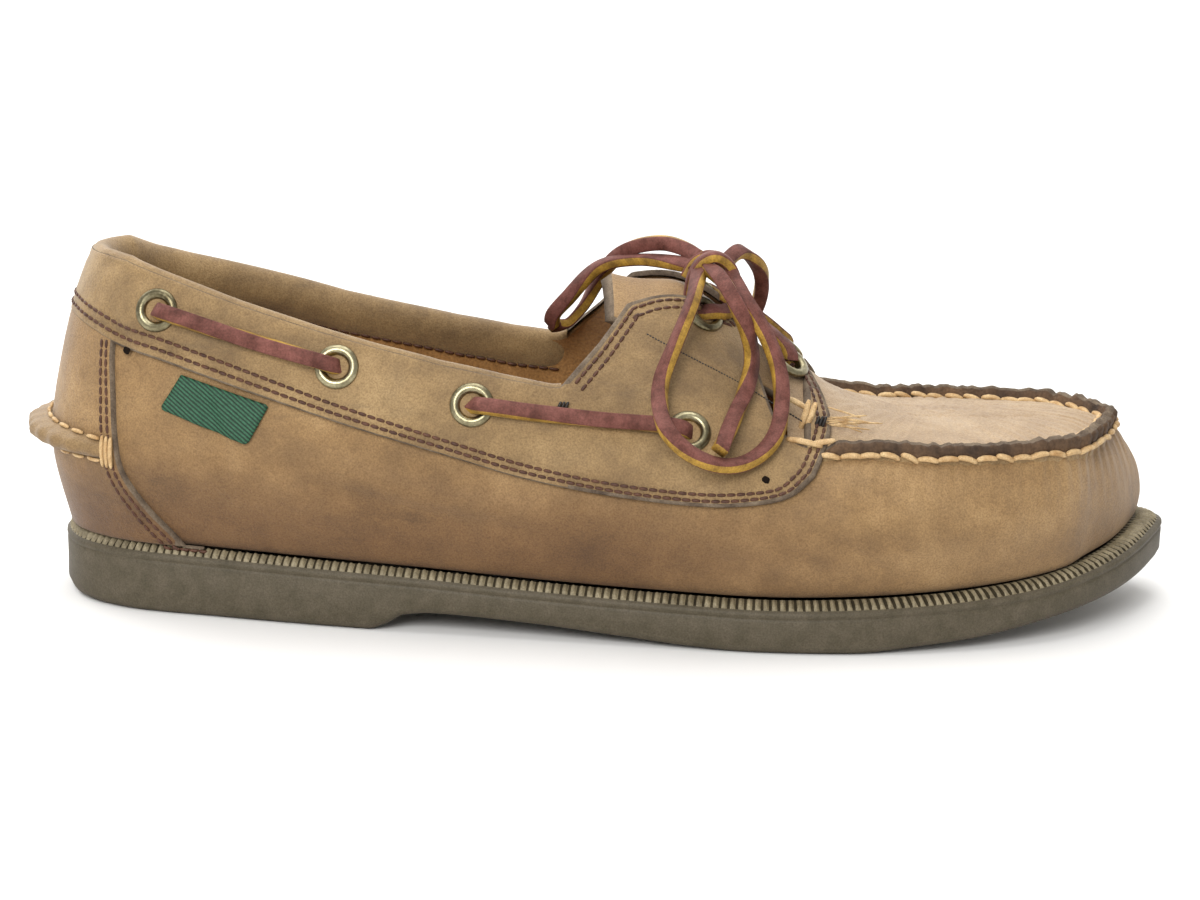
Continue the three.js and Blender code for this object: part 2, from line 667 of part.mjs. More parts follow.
const FAR = LENGTH;
const sideRows = (rows, column = 'up') => rows.map((row) => {
  const x = row.at * LENGTH;
  return [x, row[column] * crestOf(x).z];
});

// Outline from above of rows that give a half width about the middle line.
function planOutline(rows, reveal) {
  const side = (sign) => rows.map((row) => {
    const x = row.at * LENGTH;
    return [x, middleLine(x) + sign * (row.half * BALL_WIDTH + reveal)];
  });
  return [...side(-1), ...side(1).reverse()];
}

// Opening of the collar from the side and slot of the throat from above; the reveal sets an edge back.
function collarCutter(reveal) {
  const half = (column, yFrom, yTo) => {
    const topline = [...sideRows(TOPLINE, column), ...sideRows(EYESTAY_REAR)];
    const outline = topline.map(([x, z]) => [x, z - reveal]);
    const end = outline[outline.length - 1][0];
    return sidePrism([...outline, [end, FAR], [-FAR, FAR], [-FAR, outline[0][1]]], yFrom, yTo);
  };
  return half('outer', -FAR, 0).add(half('inner', 0, FAR));
}
function throatCutter(reveal) {
  return planPrism(planOutline(THROAT, reveal), TOE_HEIGHT, FAR);
}

// Raised seam of the moccasin toe: a ridge on the shoulder of the form, from the eyestay round the toe.
const SEAM_START = 0.668;
function makeSeam() {
  const shoulder = formGrid[SHOULDER_ROW];
  const normals = formNormals[SHOULDER_ROW];
  const inwardOf = (i) => formGrid[SHOULDER_ROW + 1][i].clone().sub(shoulder[i]).normalize();
  const ring = [];
  shoulder.forEach((point, i) => {
    if (formStations[i].x < SEAM_START * LENGTH) return;
    const up = normals[i].clone().lerp(new THREE.Vector3(0, 0, 1), 0.6).normalize();
    const inward = inwardOf(i);
    inward.addScaledVector(up, -inward.dot(up)).normalize();
    const corner = (across, height) => point.clone()
      .addScaledVector(inward, across * SEAM_WIDTH)
      .addScaledVector(up, height);
    ring.push([
      corner(-0.5, -WALL * 0.6), corner(-0.5, SEAM_HEIGHT * 0.75), corner(-0.2, SEAM_HEIGHT),
      corner(0.35, SEAM_HEIGHT), corner(0.5, SEAM_HEIGHT * 0.7), corner(0.5, -WALL * 0.6),
    ]);
  });
  const size = ring[0].length;
  const faces = [];
  for (let k = 0; k + 1 < ring.length; k += 1) {
    for (let i = 0; i < size; i += 1) {
      const j = (i + 1) % size;
      const [a, b, c, d] = [k * size + i, k * size + j, (k + 1) * size + j, (k + 1) * size + i];
      faces.push([a, c, b], [a, d, c]);
    }
  }
  const end = (ring.length - 1) * size;
  for (let i = 1; i + 1 < size; i += 1) {
    faces.push([0, i, i + 1], [end, end + i + 1, end + i]);
  }
  return solidFrom(ring.flat(), faces);
}

function makeUpper(bores) {
  let solid = formAt(0, 0).subtract(formAt(-WALL, WALL * 2)).add(makeSeam());
  solid = solid.subtract(collarCutter(EDGE_REVEAL)).subtract(throatCutter(EDGE_REVEAL));
  bores.forEach((bore) => {
    solid = solid.subtract(bore);
  });
  return solid;
}

function makeTongue() {
  const outside = WALL + TONGUE_GAP;
  return formAt(-outside, 0).subtract(formAt(-outside - TONGUE, TONGUE))
    .intersect(planPrism(planOutline(TONGUE_PLAN, 0), TOE_HEIGHT * 0.7, FAR));
}

function makeInsole() {
  const inset = (x) => featherInset(x) + WALL + GAP * 2;
  return stack([
    soleRing(inset, (x, inner) => seatHeight(inner) + GAP),
    soleRing(inset, (x, inner) => seatHeight(inner) + GAP + INSOLE),
  ]);
}

// Overlays.

const layer = (from, thickness) => formAt(from + thickness, 0).subtract(formAt(from, thickness));

function bandOutline() {
  const lower = sideRows(BAND_LOWER);
  const front = sideRows(EYESTAY_FRONT);
  return [...lower, ...front, [front[front.length - 1][0], FAR], [-FAR, FAR], [-FAR, lower[0][1]]];
}

function makeQuarters(bores) {
  let whole = layer(GAP, OVERLAY).intersect(sidePrism(bandOutline(), -FAR, FAR));
  whole = whole.subtract(collarCutter(0)).subtract(throatCutter(0));
  bores.forEach((bore) => {
    whole = whole.subtract(bore);
  });
  const joint = MEDIAL_JOINT * LENGTH;
  const split = (from) => planPrism([[from, 0], [FAR * 2, 0], [FAR * 2, FAR], [from, FAR]], 0, FAR);
  return { lateral: whole.subtract(split(joint)), medial: whole.intersect(split(joint + GAP)) };
}

// Counter round the back of the heel, below the collar band, and the lip that stands out from it.
function makeCounter() {
  const front = sideRows(COUNTER_FRONT);
  const band = sideRows(BAND_LOWER).filter(([x]) => x < LENGTH * 0.2).map(([x, z]) => [x, z - GAP]);
  const below = [...front, [front[front.length - 1][0], 0], [-FAR, 0], [-FAR, FAR], [front[0][0], FAR]];
  const above = [...band, [band[band.length - 1][0], FAR], [-FAR, FAR], [-FAR, band[0][1]]];
  return layer(GAP, COUNTER).intersect(sidePrism(below, -FAR, FAR)).subtract(sidePrism(above, -FAR, FAR));
}

function makeLip() {
  const level = LIP_LEVEL * crestOf(0).z;
  const bottom = level - LIP_HEIGHT / 2;
  const start = GAP + COUNTER + GAP;
  const pointAt = (run, reach) => {
    const station = edgeAt(run);
    const section = sectionCurve(footOf(station), crestOf(station.x), isOuter(station), station.x / LENGTH);
    const point = sectionAt(section, rowAtHeight(section, level));
    const out = start + reach * LIP_REACH;
    return [point.x - station.inward.x * out, point.y - station.inward.y * out];
  };
  const outer = LIP_RUN.map((row) => pointAt(row.along * LENGTH, row.reach)).reverse();
  const inner = LIP_RUN.slice(1).map((row) => pointAt(-row.along * LENGTH, row.reach));
  return planPrism([...outer, ...inner], bottom, bottom + LIP_HEIGHT).subtract(formAt(start, WALL));
}

function makeLabel() {
  return layer(GAP, LABEL).intersect(sidePrism(sideRows(LABEL_CORNERS), -FAR, 0));
}

// Eyelets.

const eyeletPlaces = [true, false].flatMap((outer) => EYELETS.map((row) => ({
  name: `eyelet_${outer ? 'lateral' : 'medial'}_${row.name}`,
  key: row.name,
  outer,
  ...onSide(row.at * LENGTH, row.up * crestOf(row.at * LENGTH).z, outer, GAP + OVERLAY),
})));

// A solid turned about an axis and set on a surface: its +Y points along the normal.
function setOn(geometry, place) {
  const turn = new THREE.Quaternion().setFromUnitVectors(new THREE.Vector3(0, 1, 0), place.normal);
  geometry.applyQuaternion(turn);
  geometry.translate(place.point.x, place.point.y, place.point.z);
  return solidOf(geometry);
}

const EYELET_SIDES = 10;
const barrelRadius = EYELET_BORE / 2 + EYELET_WALL;
const stackDepth = OVERLAY + GAP + WALL;
function makeEyelet(place) {
  const bore = EYELET_BORE / 2;
  const flange = EYELET_FLANGE / 2;
  const profile = [
    [bore, -stackDepth], [barrelRadius, -stackDepth], [barrelRadius, GAP], [flange, GAP],
    [flange - EYELET_RISE * 0.3, GAP + EYELET_RISE * 0.6], [(flange + bore) / 2, GAP + EYELET_RISE],
    [bore, GAP + EYELET_RISE * 0.5], [bore, -stackDepth],
  ].map(([radius, height]) => new THREE.Vector2(radius, height));
  return setOn(new THREE.LatheGeometry(profile, EYELET_SIDES), place);
}
const makeBore = (place) => setOn(
  new THREE.CylinderGeometry(barrelRadius + BORE_GAP, barrelRadius + BORE_GAP, stackDepth * 3, EYELET_SIDES),
  place,
);

// Laces.

// Round cord through points, closed at both ends.
function cord(points, spacing) {
  const path = new THREE.CatmullRomCurve3(points, false, 'centripetal');
  const section = new THREE.Shape(Array.from({ length: LACE_SIDES }, (_, i) => {
    const angle = (i / LACE_SIDES) * Math.PI * 2;
    return new THREE.Vector2((LACE / 2) * Math.cos(angle), (LACE / 2) * Math.sin(angle));
  }));
  const count = Math.max(2, Math.round(path.getLength() / spacing));
  const tube = { steps: count, bevelEnabled: false, extrudePath: path };
  return solidOf(new THREE.ExtrudeGeometry(section, tube));
}

// Lace along the side from one eyelet to the next, over the collar band.
function makeSideBar(outer, fromKey, toKey) {
  const ends = [fromKey, toKey].map((key) => EYELETS.filter((row) => row.name === key));
  const [[[fromX, fromZ]], [[toX, toZ]]] = ends.map((rows) => sideRows(rows));
  const run = Math.hypot(toX - fromX, toZ - fromZ);
  const pointAt = (along, lift) => onSide(
    THREE.MathUtils.lerp(fromX, toX, along / run),
    THREE.MathUtils.lerp(fromZ, toZ, along / run),
    outer,
    GAP + OVERLAY + lift,
  ).point;
  const start = BAR_ENDS.map((row) => pointAt(row.along, row.lift));
  const end = BAR_ENDS.map((row) => pointAt(run - row.along, row.lift));
  const middle = pointAt(run / 2, BAR_ENDS[BAR_ENDS.length - 1].lift);
  return cord([...start, middle, ...end.reverse()], LACE * 1.8);
}

// The two laces that cross over the tongue, from front to rear eyelets, joined where they cross.
function makeCross() {
  const place = (outer, key) => eyeletPlaces.find((found) => found.outer === outer && found.key === key);
  const strand = (outer) => {
    const from = place(outer, 'throat_front');
    const to = place(!outer, 'throat_rear');
    const end = (at, toward) => {
      const way = toward.clone().sub(at.point);
      way.addScaledVector(at.normal, -way.dot(at.normal)).normalize();
      return BAR_ENDS.slice(0, 4).map((row) => at.point.clone()
        .addScaledVector(way, row.along)
        .addScaledVector(at.normal, row.lift));
    };
    const start = end(from, to.point);
    const finish = end(to, from.point);
    const [a, b] = [start[3], finish[3]];
    const middle = CROSS_RUN.slice(1, -1).map((row) => {
      const point = a.clone().lerp(b, row.across);
      point.z += row.lift;
      return point;
    });
    return cord([...start, ...middle, ...finish.reverse()], LACE);
  };
  return strand(true).add(strand(false));
}

const cordPoint = (row) => new THREE.Vector3(
  row.at * LENGTH,
  row.across * BALL_WIDTH,
  row.up * INSTEP_HEIGHT,
);

function makeKnot() {
  const core = new THREE.SphereGeometry(LACE * 1.35, 10, 8);
  core.scale(1.25, 1, 1);
  const middle = cordPoint(KNOT);
  core.translate(middle.x, middle.y, middle.z);
  return solidOf(core);
}

// Assembly.

const leather = (color) => new THREE.MeshStandardMaterial({ color, roughness: 0.85, metalness: 0 });
const MATERIALS = {
  rubber: new THREE.MeshStandardMaterial({ color: 0x5f5844, roughness: 0.75, metalness: 0 }),
  upper: leather(0xa8865f),
  overlay: leather(0xa98a66),
  lining: leather(0xb58f63),
  tongue: leather(0xb59a72),
  label: new THREE.MeshStandardMaterial({ color: 0x24503c, roughness: 0.8, metalness: 0 }),
  brass: new THREE.MeshStandardMaterial({ color: 0xa09a78, roughness: 0.4, metalness: 1 }),
  lace: new THREE.MeshStandardMaterial({ color: 0x8a4a42, roughness: 0.6, metalness: 0 }),
};

const shoe = new THREE.Group();
function addPiece(name, solid, material) {
  const found = solid.getMesh();
  const geometry = new THREE.BufferGeometry();
  geometry.setAttribute('position', new THREE.BufferAttribute(Float32Array.from(found.vertProperties), 3));
  geometry.setIndex(Array.from(found.triVerts));
  geometry.computeVertexNormals();
  const mesh = new THREE.Mesh(geometry, material);
  mesh.name = name;
  mesh.position.x = -HEEL_FLAT_MIDDLE;
  shoe.add(mesh);
}

const bores = eyeletPlaces.map(makeBore);
const quarters = makeQuarters(bores);
addPiece('outsole', makeOutsole(), MATERIALS.rubber);
addPiece('insole', makeInsole(), MATERIALS.lining);
addPiece('upper', makeUpper(bores), MATERIALS.upper);
addPiece('tongue', makeTongue(), MATERIALS.tongue);
addPiece('quarter_overlay_lateral', quarters.lateral, MATERIALS.overlay);
addPiece('quarter_overlay_medial', quarters.medial, MATERIALS.overlay);
addPiece('heel_counter', makeCounter(), MATERIALS.upper);
addPiece('heel_lip', makeLip(), MATERIALS.overlay);
addPiece('label_tab', makeLabel(), MATERIALS.label);
eyeletPlaces.forEach((place) => addPiece(place.name, makeEyelet(place), MATERIALS.brass));
[['lateral', true], ['medial', false]].forEach(([side, outer]) => {
  addPiece(`lace_bar_${side}_rear`, makeSideBar(outer, 'collar_rear', 'collar_middle'), MATERIALS.lace);
  addPiece(`lace_bar_${side}_front`, makeSideBar(outer, 'collar_front', 'side'), MATERIALS.lace);
});
addPiece('lace_cross', makeCross(), MATERIALS.lace);
addPiece('lace_knot', makeKnot(), MATERIALS.lace);
addPiece('lace_loop_near', cord(NEAR_LOOP.map(cordPoint), LACE * 2.5), MATERIALS.lace);
addPiece('lace_end_near', cord(NEAR_END.map(cordPoint), LACE * 2.5), MATERIALS.lace);
addPiece('lace_loop_far', cord(FAR_LOOP.map(cordPoint), LACE * 2.5), MATERIALS.lace);
addPiece('lace_end_far', cord(FAR_END.map(cordPoint), LACE * 2.5), MATERIALS.lace);

export default shoe;
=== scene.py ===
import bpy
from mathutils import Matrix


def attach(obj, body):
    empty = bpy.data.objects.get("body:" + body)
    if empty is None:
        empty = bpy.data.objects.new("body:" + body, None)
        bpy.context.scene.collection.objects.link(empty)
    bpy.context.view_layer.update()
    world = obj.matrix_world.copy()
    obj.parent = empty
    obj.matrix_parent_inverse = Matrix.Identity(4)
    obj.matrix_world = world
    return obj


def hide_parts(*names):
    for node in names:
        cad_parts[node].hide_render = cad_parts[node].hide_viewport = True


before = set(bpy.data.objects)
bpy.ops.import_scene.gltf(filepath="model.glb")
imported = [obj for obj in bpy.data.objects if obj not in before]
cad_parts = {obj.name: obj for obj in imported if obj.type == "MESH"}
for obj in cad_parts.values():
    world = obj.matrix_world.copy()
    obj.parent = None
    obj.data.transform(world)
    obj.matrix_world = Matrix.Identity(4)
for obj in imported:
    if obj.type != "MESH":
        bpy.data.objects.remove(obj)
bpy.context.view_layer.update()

"""Boat shoe for the right foot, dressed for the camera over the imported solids.

Lengths are in millimetres from the back of the heel, +X towards the toe, -Y the outer side, +Z up.
Meshes turn them into metres of the frame when they are made.
"""
import logging
import math
from dataclasses import dataclass, field
from enum import Enum
from typing import Iterable, Sequence

import bmesh
import bpy
import numpy as np
from mathutils import Matrix, Vector
from mathutils.geometry import delaunay_2d_cdt

LOG = logging.getLogger("boat_shoe")
Array = np.ndarray
MM = 0.001
HEEL_FLAT_MIDDLE = 40.0

# Wall thicknesses and clearances, as the solids have them.
WALL = 2.2
OVERLAY = 1.7
COUNTER = 1.5
GAP = 0.3

# Edge of the outsole from above: share of the length, share of the ball width.
OUTLINE = (
    (0, 0), (0.018, -0.165), (0.065, -0.265), (0.15, -0.325), (0.27, -0.39), (0.4, -0.435),
    (0.52, -0.475), (0.63, -0.505), (0.72, -0.49), (0.82, -0.415), (0.893, -0.31), (0.95, -0.16),
    (0.985, 0), (1, 0.12), (0.98, 0.25), (0.925, 0.37), (0.84, 0.455), (0.74, 0.49),
    (0.64, 0.475), (0.52, 0.405), (0.4, 0.345), (0.28, 0.33), (0.16, 0.325), (0.065, 0.255),
    (0.018, 0.155),
)
TOE_ROW = 13

# Rim of the outsole: share of the length, then shares of the heel, ball and toe rims.
RIM = (
    (0, 1.03, 0, 0), (0.12, 1, 0, 0), (0.3, 0.75, 0.25, 0), (0.43, 0.35, 0.65, 0), (0.54, 0.1, 0.9, 0),
    (0.63, 0, 1, 0), (0.7, 0, 0.96, 0.04), (0.78, 0, 0.88, 0.12), (0.86, 0, 0.72, 0.28),
    (0.93, 0, 0.42, 0.58), (0.975, 0, 0.14, 0.86), (1, 0, 0, 1),
)

# Underside: share of the length, then shares of the arch and of the toe spring.
UNDERSIDE = (
    (0, 0.3, 0), (0.02, 0.1, 0), (0.05, 0, 0), (0.283, 0, 0), (0.3, 0.35, 0), (0.315, 0.85, 0),
    (0.34, 1, 0), (0.42, 0.8, 0), (0.5, 0.42, 0), (0.56, 0.12, 0), (0.61, 0, 0), (0.7, 0, 0),
    (0.75, 0, 0.1), (0.81, 0, 0.23), (0.87, 0, 0.45), (0.93, 0, 0.68), (0.97, 0, 0.87), (1, 0, 1),
)

# Feather line: share of the length, inset as a share of the ball width.
FEATHER = ((0, 0.03), (0.3, 0.032), (0.6, 0.045), (0.85, 0.053), (0.95, 0.062), (1, 0.072))

# Crest of the last: share of the length, shares of the heel, instep and toe heights, bend of the middle line.
CREST = (
    (0.087, 1.2, 0, 0, 0.01), (0.26, 0.8, 0.36, 0, -0.005), (0.38, 0.4, 0.71, 0, -0.01),
    (0.45, 0.2, 0.85, 0, -0.01), (0.533, 0, 0.985, 0, -0.01), (0.6, 0, 0.86, 0, -0.01),
    (0.65, 0, 0.5, 0.4, -0.02), (0.69, 0, 0.2, 0.76, -0.04), (0.72, 0, 0.06, 0.94, -0.05),
    (0.76, 0, 0, 1.01, -0.045), (0.82, 0, 0, 1, -0.02), (0.893, 0, 0, 1, 0.02),
)
HEEL_TURN = 0.087
TOE_TURN = 0.893

# Half sections: share of the length, then in and up shares of belly, side, shoulder and roof.
LATERAL = (
    (0.01, -0.2, 0.24, -0.08, 0.48, 0.18, 0.72, 0.52, 0.89),
    (0.15, -0.19, 0.24, -0.13, 0.46, 0.08, 0.71, 0.46, 0.9),
    (0.26, -0.14, 0.235, -0.1, 0.45, 0.07, 0.66, 0.48, 0.91),
    (0.38, -0.1, 0.235, -0.065, 0.42, 0.065, 0.595, 0.5, 0.875),
    (0.45, -0.11, 0.25, -0.06, 0.43, 0.09, 0.6, 0.53, 0.855),
    (0.533, -0.11, 0.265, -0.03, 0.44, 0.32, 0.72, 0.625, 0.91),
    (0.6, -0.1, 0.285, -0.015, 0.46, 0.325, 0.69, 0.71, 0.9),
    (0.65, -0.09, 0.35, 0.01, 0.53, 0.205, 0.69, 0.64, 0.9),
    (0.69, -0.09, 0.42, 0, 0.64, 0.205, 0.81, 0.62, 0.945),
    (0.72, -0.09, 0.45, 0.01, 0.69, 0.205, 0.89, 0.59, 0.965),
    (0.8, -0.1, 0.46, -0.03, 0.73, 0.11, 0.92, 0.55, 0.985),
    (0.88, -0.115, 0.46, -0.065, 0.74, 0.085, 0.93, 0.47, 0.99),
    (0.985, -0.04, 0.25, 0.06, 0.55, 0.41, 0.93, 0.71, 0.99),
)
MEDIAL = (
    (0.01, -0.2, 0.24, -0.08, 0.48, 0.18, 0.72, 0.52, 0.89),
    (0.15, -0.17, 0.24, -0.14, 0.46, 0.05, 0.69, 0.45, 0.89),
    (0.26, -0.18, 0.25, -0.19, 0.45, -0.06, 0.64, 0.39, 0.9),
    (0.38, -0.21, 0.28, -0.21, 0.45, -0.1, 0.61, 0.36, 0.875),
    (0.45, -0.19, 0.285, -0.19, 0.45, -0.06, 0.61, 0.43, 0.87),
    (0.533, -0.145, 0.265, -0.1, 0.44, 0.21, 0.72, 0.58, 0.92),
    (0.6, -0.105, 0.3, -0.035, 0.48, 0.28, 0.7, 0.66, 0.9),
    (0.65, -0.09, 0.365, -0.01, 0.57, 0.29, 0.74, 0.66, 0.91),
    (0.69, -0.07, 0.44, 0.03, 0.71, 0.35, 0.865, 0.67, 0.965),
    (0.72, -0.07, 0.47, 0.04, 0.75, 0.35, 0.915, 0.67, 0.985),
    (0.8, -0.08, 0.46, 0.01, 0.76, 0.265, 0.945, 0.655, 0.99),
    (0.88, -0.085, 0.46, 0.03, 0.75, 0.26, 0.94, 0.655, 0.99),
    (0.985, -0.04, 0.25, 0.06, 0.55, 0.41, 0.93, 0.71, 0.99),
)

# Lines seen from the side: share of the length, height as a share of the crest over the same place.
TOPLINE_OUTER = (
    (-0.1, 0.8333), (0.03, 0.8333), (0.065, 0.8275), (0.1, 0.8059), (0.137, 0.7813), (0.172, 0.7578),
    (0.24, 0.7176), (0.293, 0.6909), (0.344, 0.6681), (0.395, 0.6606), (0.438, 0.6612),
)
TOPLINE_INNER = (
    (-0.1, 0.8333), (0.03, 0.8333), (0.065, 0.8042), (0.1, 0.7809), (0.137, 0.7603), (0.172, 0.7392),
    (0.24, 0.6971), (0.293, 0.6753), (0.344, 0.6567), (0.395, 0.6489), (0.438, 0.6547),
)
EYESTAY_REAR = (
    (0.446, 0.666), (0.459, 0.7163), (0.476, 0.7816), (0.489, 0.8411), (0.503, 0.9066), (0.517, 0.9604),
)
BAND_LOWER = (
    (-0.1, 0.6875), (0.01, 0.6833), (0.048, 0.6542), (0.068, 0.6375), (0.104, 0.6168), (0.14, 0.5934),
    (0.203, 0.552), (0.262, 0.514), (0.355, 0.4601), (0.414, 0.4338), (0.482, 0.4249), (0.549, 0.4238),
    (0.599, 0.478), (0.641, 0.5812), (0.662, 0.6954),
)
EYESTAY_FRONT = (
    (0.672, 0.8049), (0.678, 0.8925), (0.674, 0.9475), (0.665, 0.9807),
)
COUNTER_FRONT = (
    (0.06, 0.6667), (0.061, 0.6), (0.064, 0.5167), (0.067, 0.425), (0.072, 0.35), (0.092, 0.2627),
    (0.119, 0.1801), (0.14, 0.0841),
)
LABEL_CORNERS = ((0.123, 0.5885), (0.1047, 0.5057), (0.1815, 0.4425), (0.2, 0.539))

# Lines seen from above: share of the length, half width as a share of the ball width.
THROAT = (
    (0.44, 0.22), (0.5, 0.19), (0.52, 0.165), (0.573, 0.11), (0.6, 0.085), (0.637, 0.05), (0.652, 0.025),
)
TONGUE_PLAN = ((0.478, 0.2), (0.5, 0.215), (0.56, 0.2), (0.62, 0.18), (0.66, 0.16), (0.675, 0.13))

# Eyelets: name, share of the length, share of the crest.
EYELETS = (
    ("collar_rear", 0.1016, 0.7251), ("collar_middle", 0.258, 0.6406), ("collar_front", 0.3726, 0.5862),
    ("side", 0.5543, 0.6075), ("throat_rear", 0.5642, 0.9062), ("throat_front", 0.6419, 0.9642),
)


class Side(Enum):
    """The two sides of the shoe; the value is the sign of Y."""

    OUTER = -1
    INNER = 1


class Smooth:
    """Cubic through the rows of a table that never overshoots between two of them."""

    def __init__(self, rows: Sequence[Sequence[float]], column: int) -> None:
        """Takes the first column as the place and another one as the value.

        Args:
            rows: The table.
            column: Index of the value's column.
        """
        self.xs = np.array([row[0] for row in rows], float)
        self.ys = np.array([row[column] for row in rows], float)
        slopes = np.diff(self.ys) / np.diff(self.xs)
        inner = np.zeros(len(slopes) - 1)
        same = slopes[:-1] * slopes[1:] > 0
        total = np.where(same, slopes[:-1] + slopes[1:], 1.0)
        inner[same] = (2 * slopes[:-1] * slopes[1:] / total)[same]
        self.tangents = np.concatenate(([slopes[0]], inner, [slopes[-1]]))

    def __call__(self, at: Array) -> Array:
        """Value at each place, held beyond the ends.

        Args:
            at: Places in the table.

        Returns:
            The values at them.
        """
        at = np.clip(np.asarray(at, float), self.xs[0], self.xs[-1])
        i = np.clip(np.searchsorted(self.xs, at, side="right") - 1, 0, len(self.xs) - 2)
        width = self.xs[i + 1] - self.xs[i]
        t = (at - self.xs[i]) / width
        s = 1 - t
        return (self.ys[i] * s * s * (1 + 2 * t) + self.ys[i + 1] * t * t * (3 - 2 * t)
                + width * (self.tangents[i] * t * s * s - self.tangents[i + 1] * t * t * s))


def smoothstep(low: float, high: float, value: Array) -> Array:
    """Soft step from 0 at low to 1 at high."""
    t = np.clip((np.asarray(value, float) - low) / (high - low), 0, 1)
    return t * t * (3 - 2 * t)


def catmull(p0: Array, p1: Array, p2: Array, p3: Array, t: Array) -> Array:
    """Points of centripetal splines between p1 and p2.

    Args:
        p0, p1, p2, p3: Control points, one row for each spline.
        t: Share of the way from p1 to p2, one for each spline.

    Returns:
        One point for each spline.
    """
    d0 = np.sum((p1 - p0) ** 2, 1) ** 0.25
    d1 = np.sum((p2 - p1) ** 2, 1) ** 0.25
    d2 = np.sum((p3 - p2) ** 2, 1) ** 0.25
    d1 = np.where(d1 < 1e-4, 1, d1)[:, None]
    d0 = np.where(d0 < 1e-4, d1[:, 0], d0)[:, None]
    d2 = np.where(d2 < 1e-4, d1[:, 0], d2)[:, None]
    m1 = ((p1 - p0) / d0 - (p2 - p0) / (d0 + d1) + (p2 - p1) / d1) * d1
    m2 = ((p2 - p1) / d1 - (p3 - p1) / (d1 + d2) + (p3 - p2) / d2) * d1
    t = np.asarray(t, float)[:, None]
    return p1 + t * (m1 + t * ((3 * (p2 - p1) - 2 * m1 - m2) + t * (2 * (p1 - p2) + m1 + m2)))


def spline(points: Sequence[Sequence[float]], step: float) -> Array:
    """Open centripetal spline through points, cut into even steps.

    Args:
        points: Points that the spline passes.
        step: Spacing of the result in the points' own unit.

    Returns:
        The points of the spline, both ends among them.
    """
    p = np.asarray(points, float)
    p = np.vstack([2 * p[0] - p[1], p, 2 * p[-1] - p[-2]])
    count = 24
    t = np.tile(np.arange(count) / count, len(p) - 3)
    i = np.repeat(np.arange(len(p) - 3), count)
    fine = np.vstack([catmull(p[i], p[i + 1], p[i + 2], p[i + 3], t), p[-2:-1]])
    return even(fine, step)


def even(points: Array, step: float) -> Array:
    """A polyline cut again into even steps, both ends kept.

    Args:
        points: Corners of the polyline.
        step: Wanted distance between two new points.

    Returns:
        The new points.
    """
    run = np.concatenate(([0], np.cumsum(np.linalg.norm(np.diff(points, axis=0), axis=1))))
    count = max(2, int(round(run[-1] / step)) + 1)
    at = np.linspace(0, run[-1], count)
    return np.stack([np.interp(at, run, points[:, k]) for k in range(points.shape[1])], 1)


def unit(vectors: Array) -> Array:
    """Vectors of length one."""
    return vectors / np.maximum(np.linalg.norm(vectors, axis=-1, keepdims=True), 1e-12)


# Halvings of an interval when a row is looked for.
HALVINGS = 30


@dataclass(frozen=True)
class Crease:
    """A soft trough with a ridge along each side, drawn on the shoe's side.

    The path has shares of the length and heights in millimetres.
    """

    side: Side
    path: tuple[tuple[float, float], ...]
    depth: float
    width: float
    ridge: float = 0.4


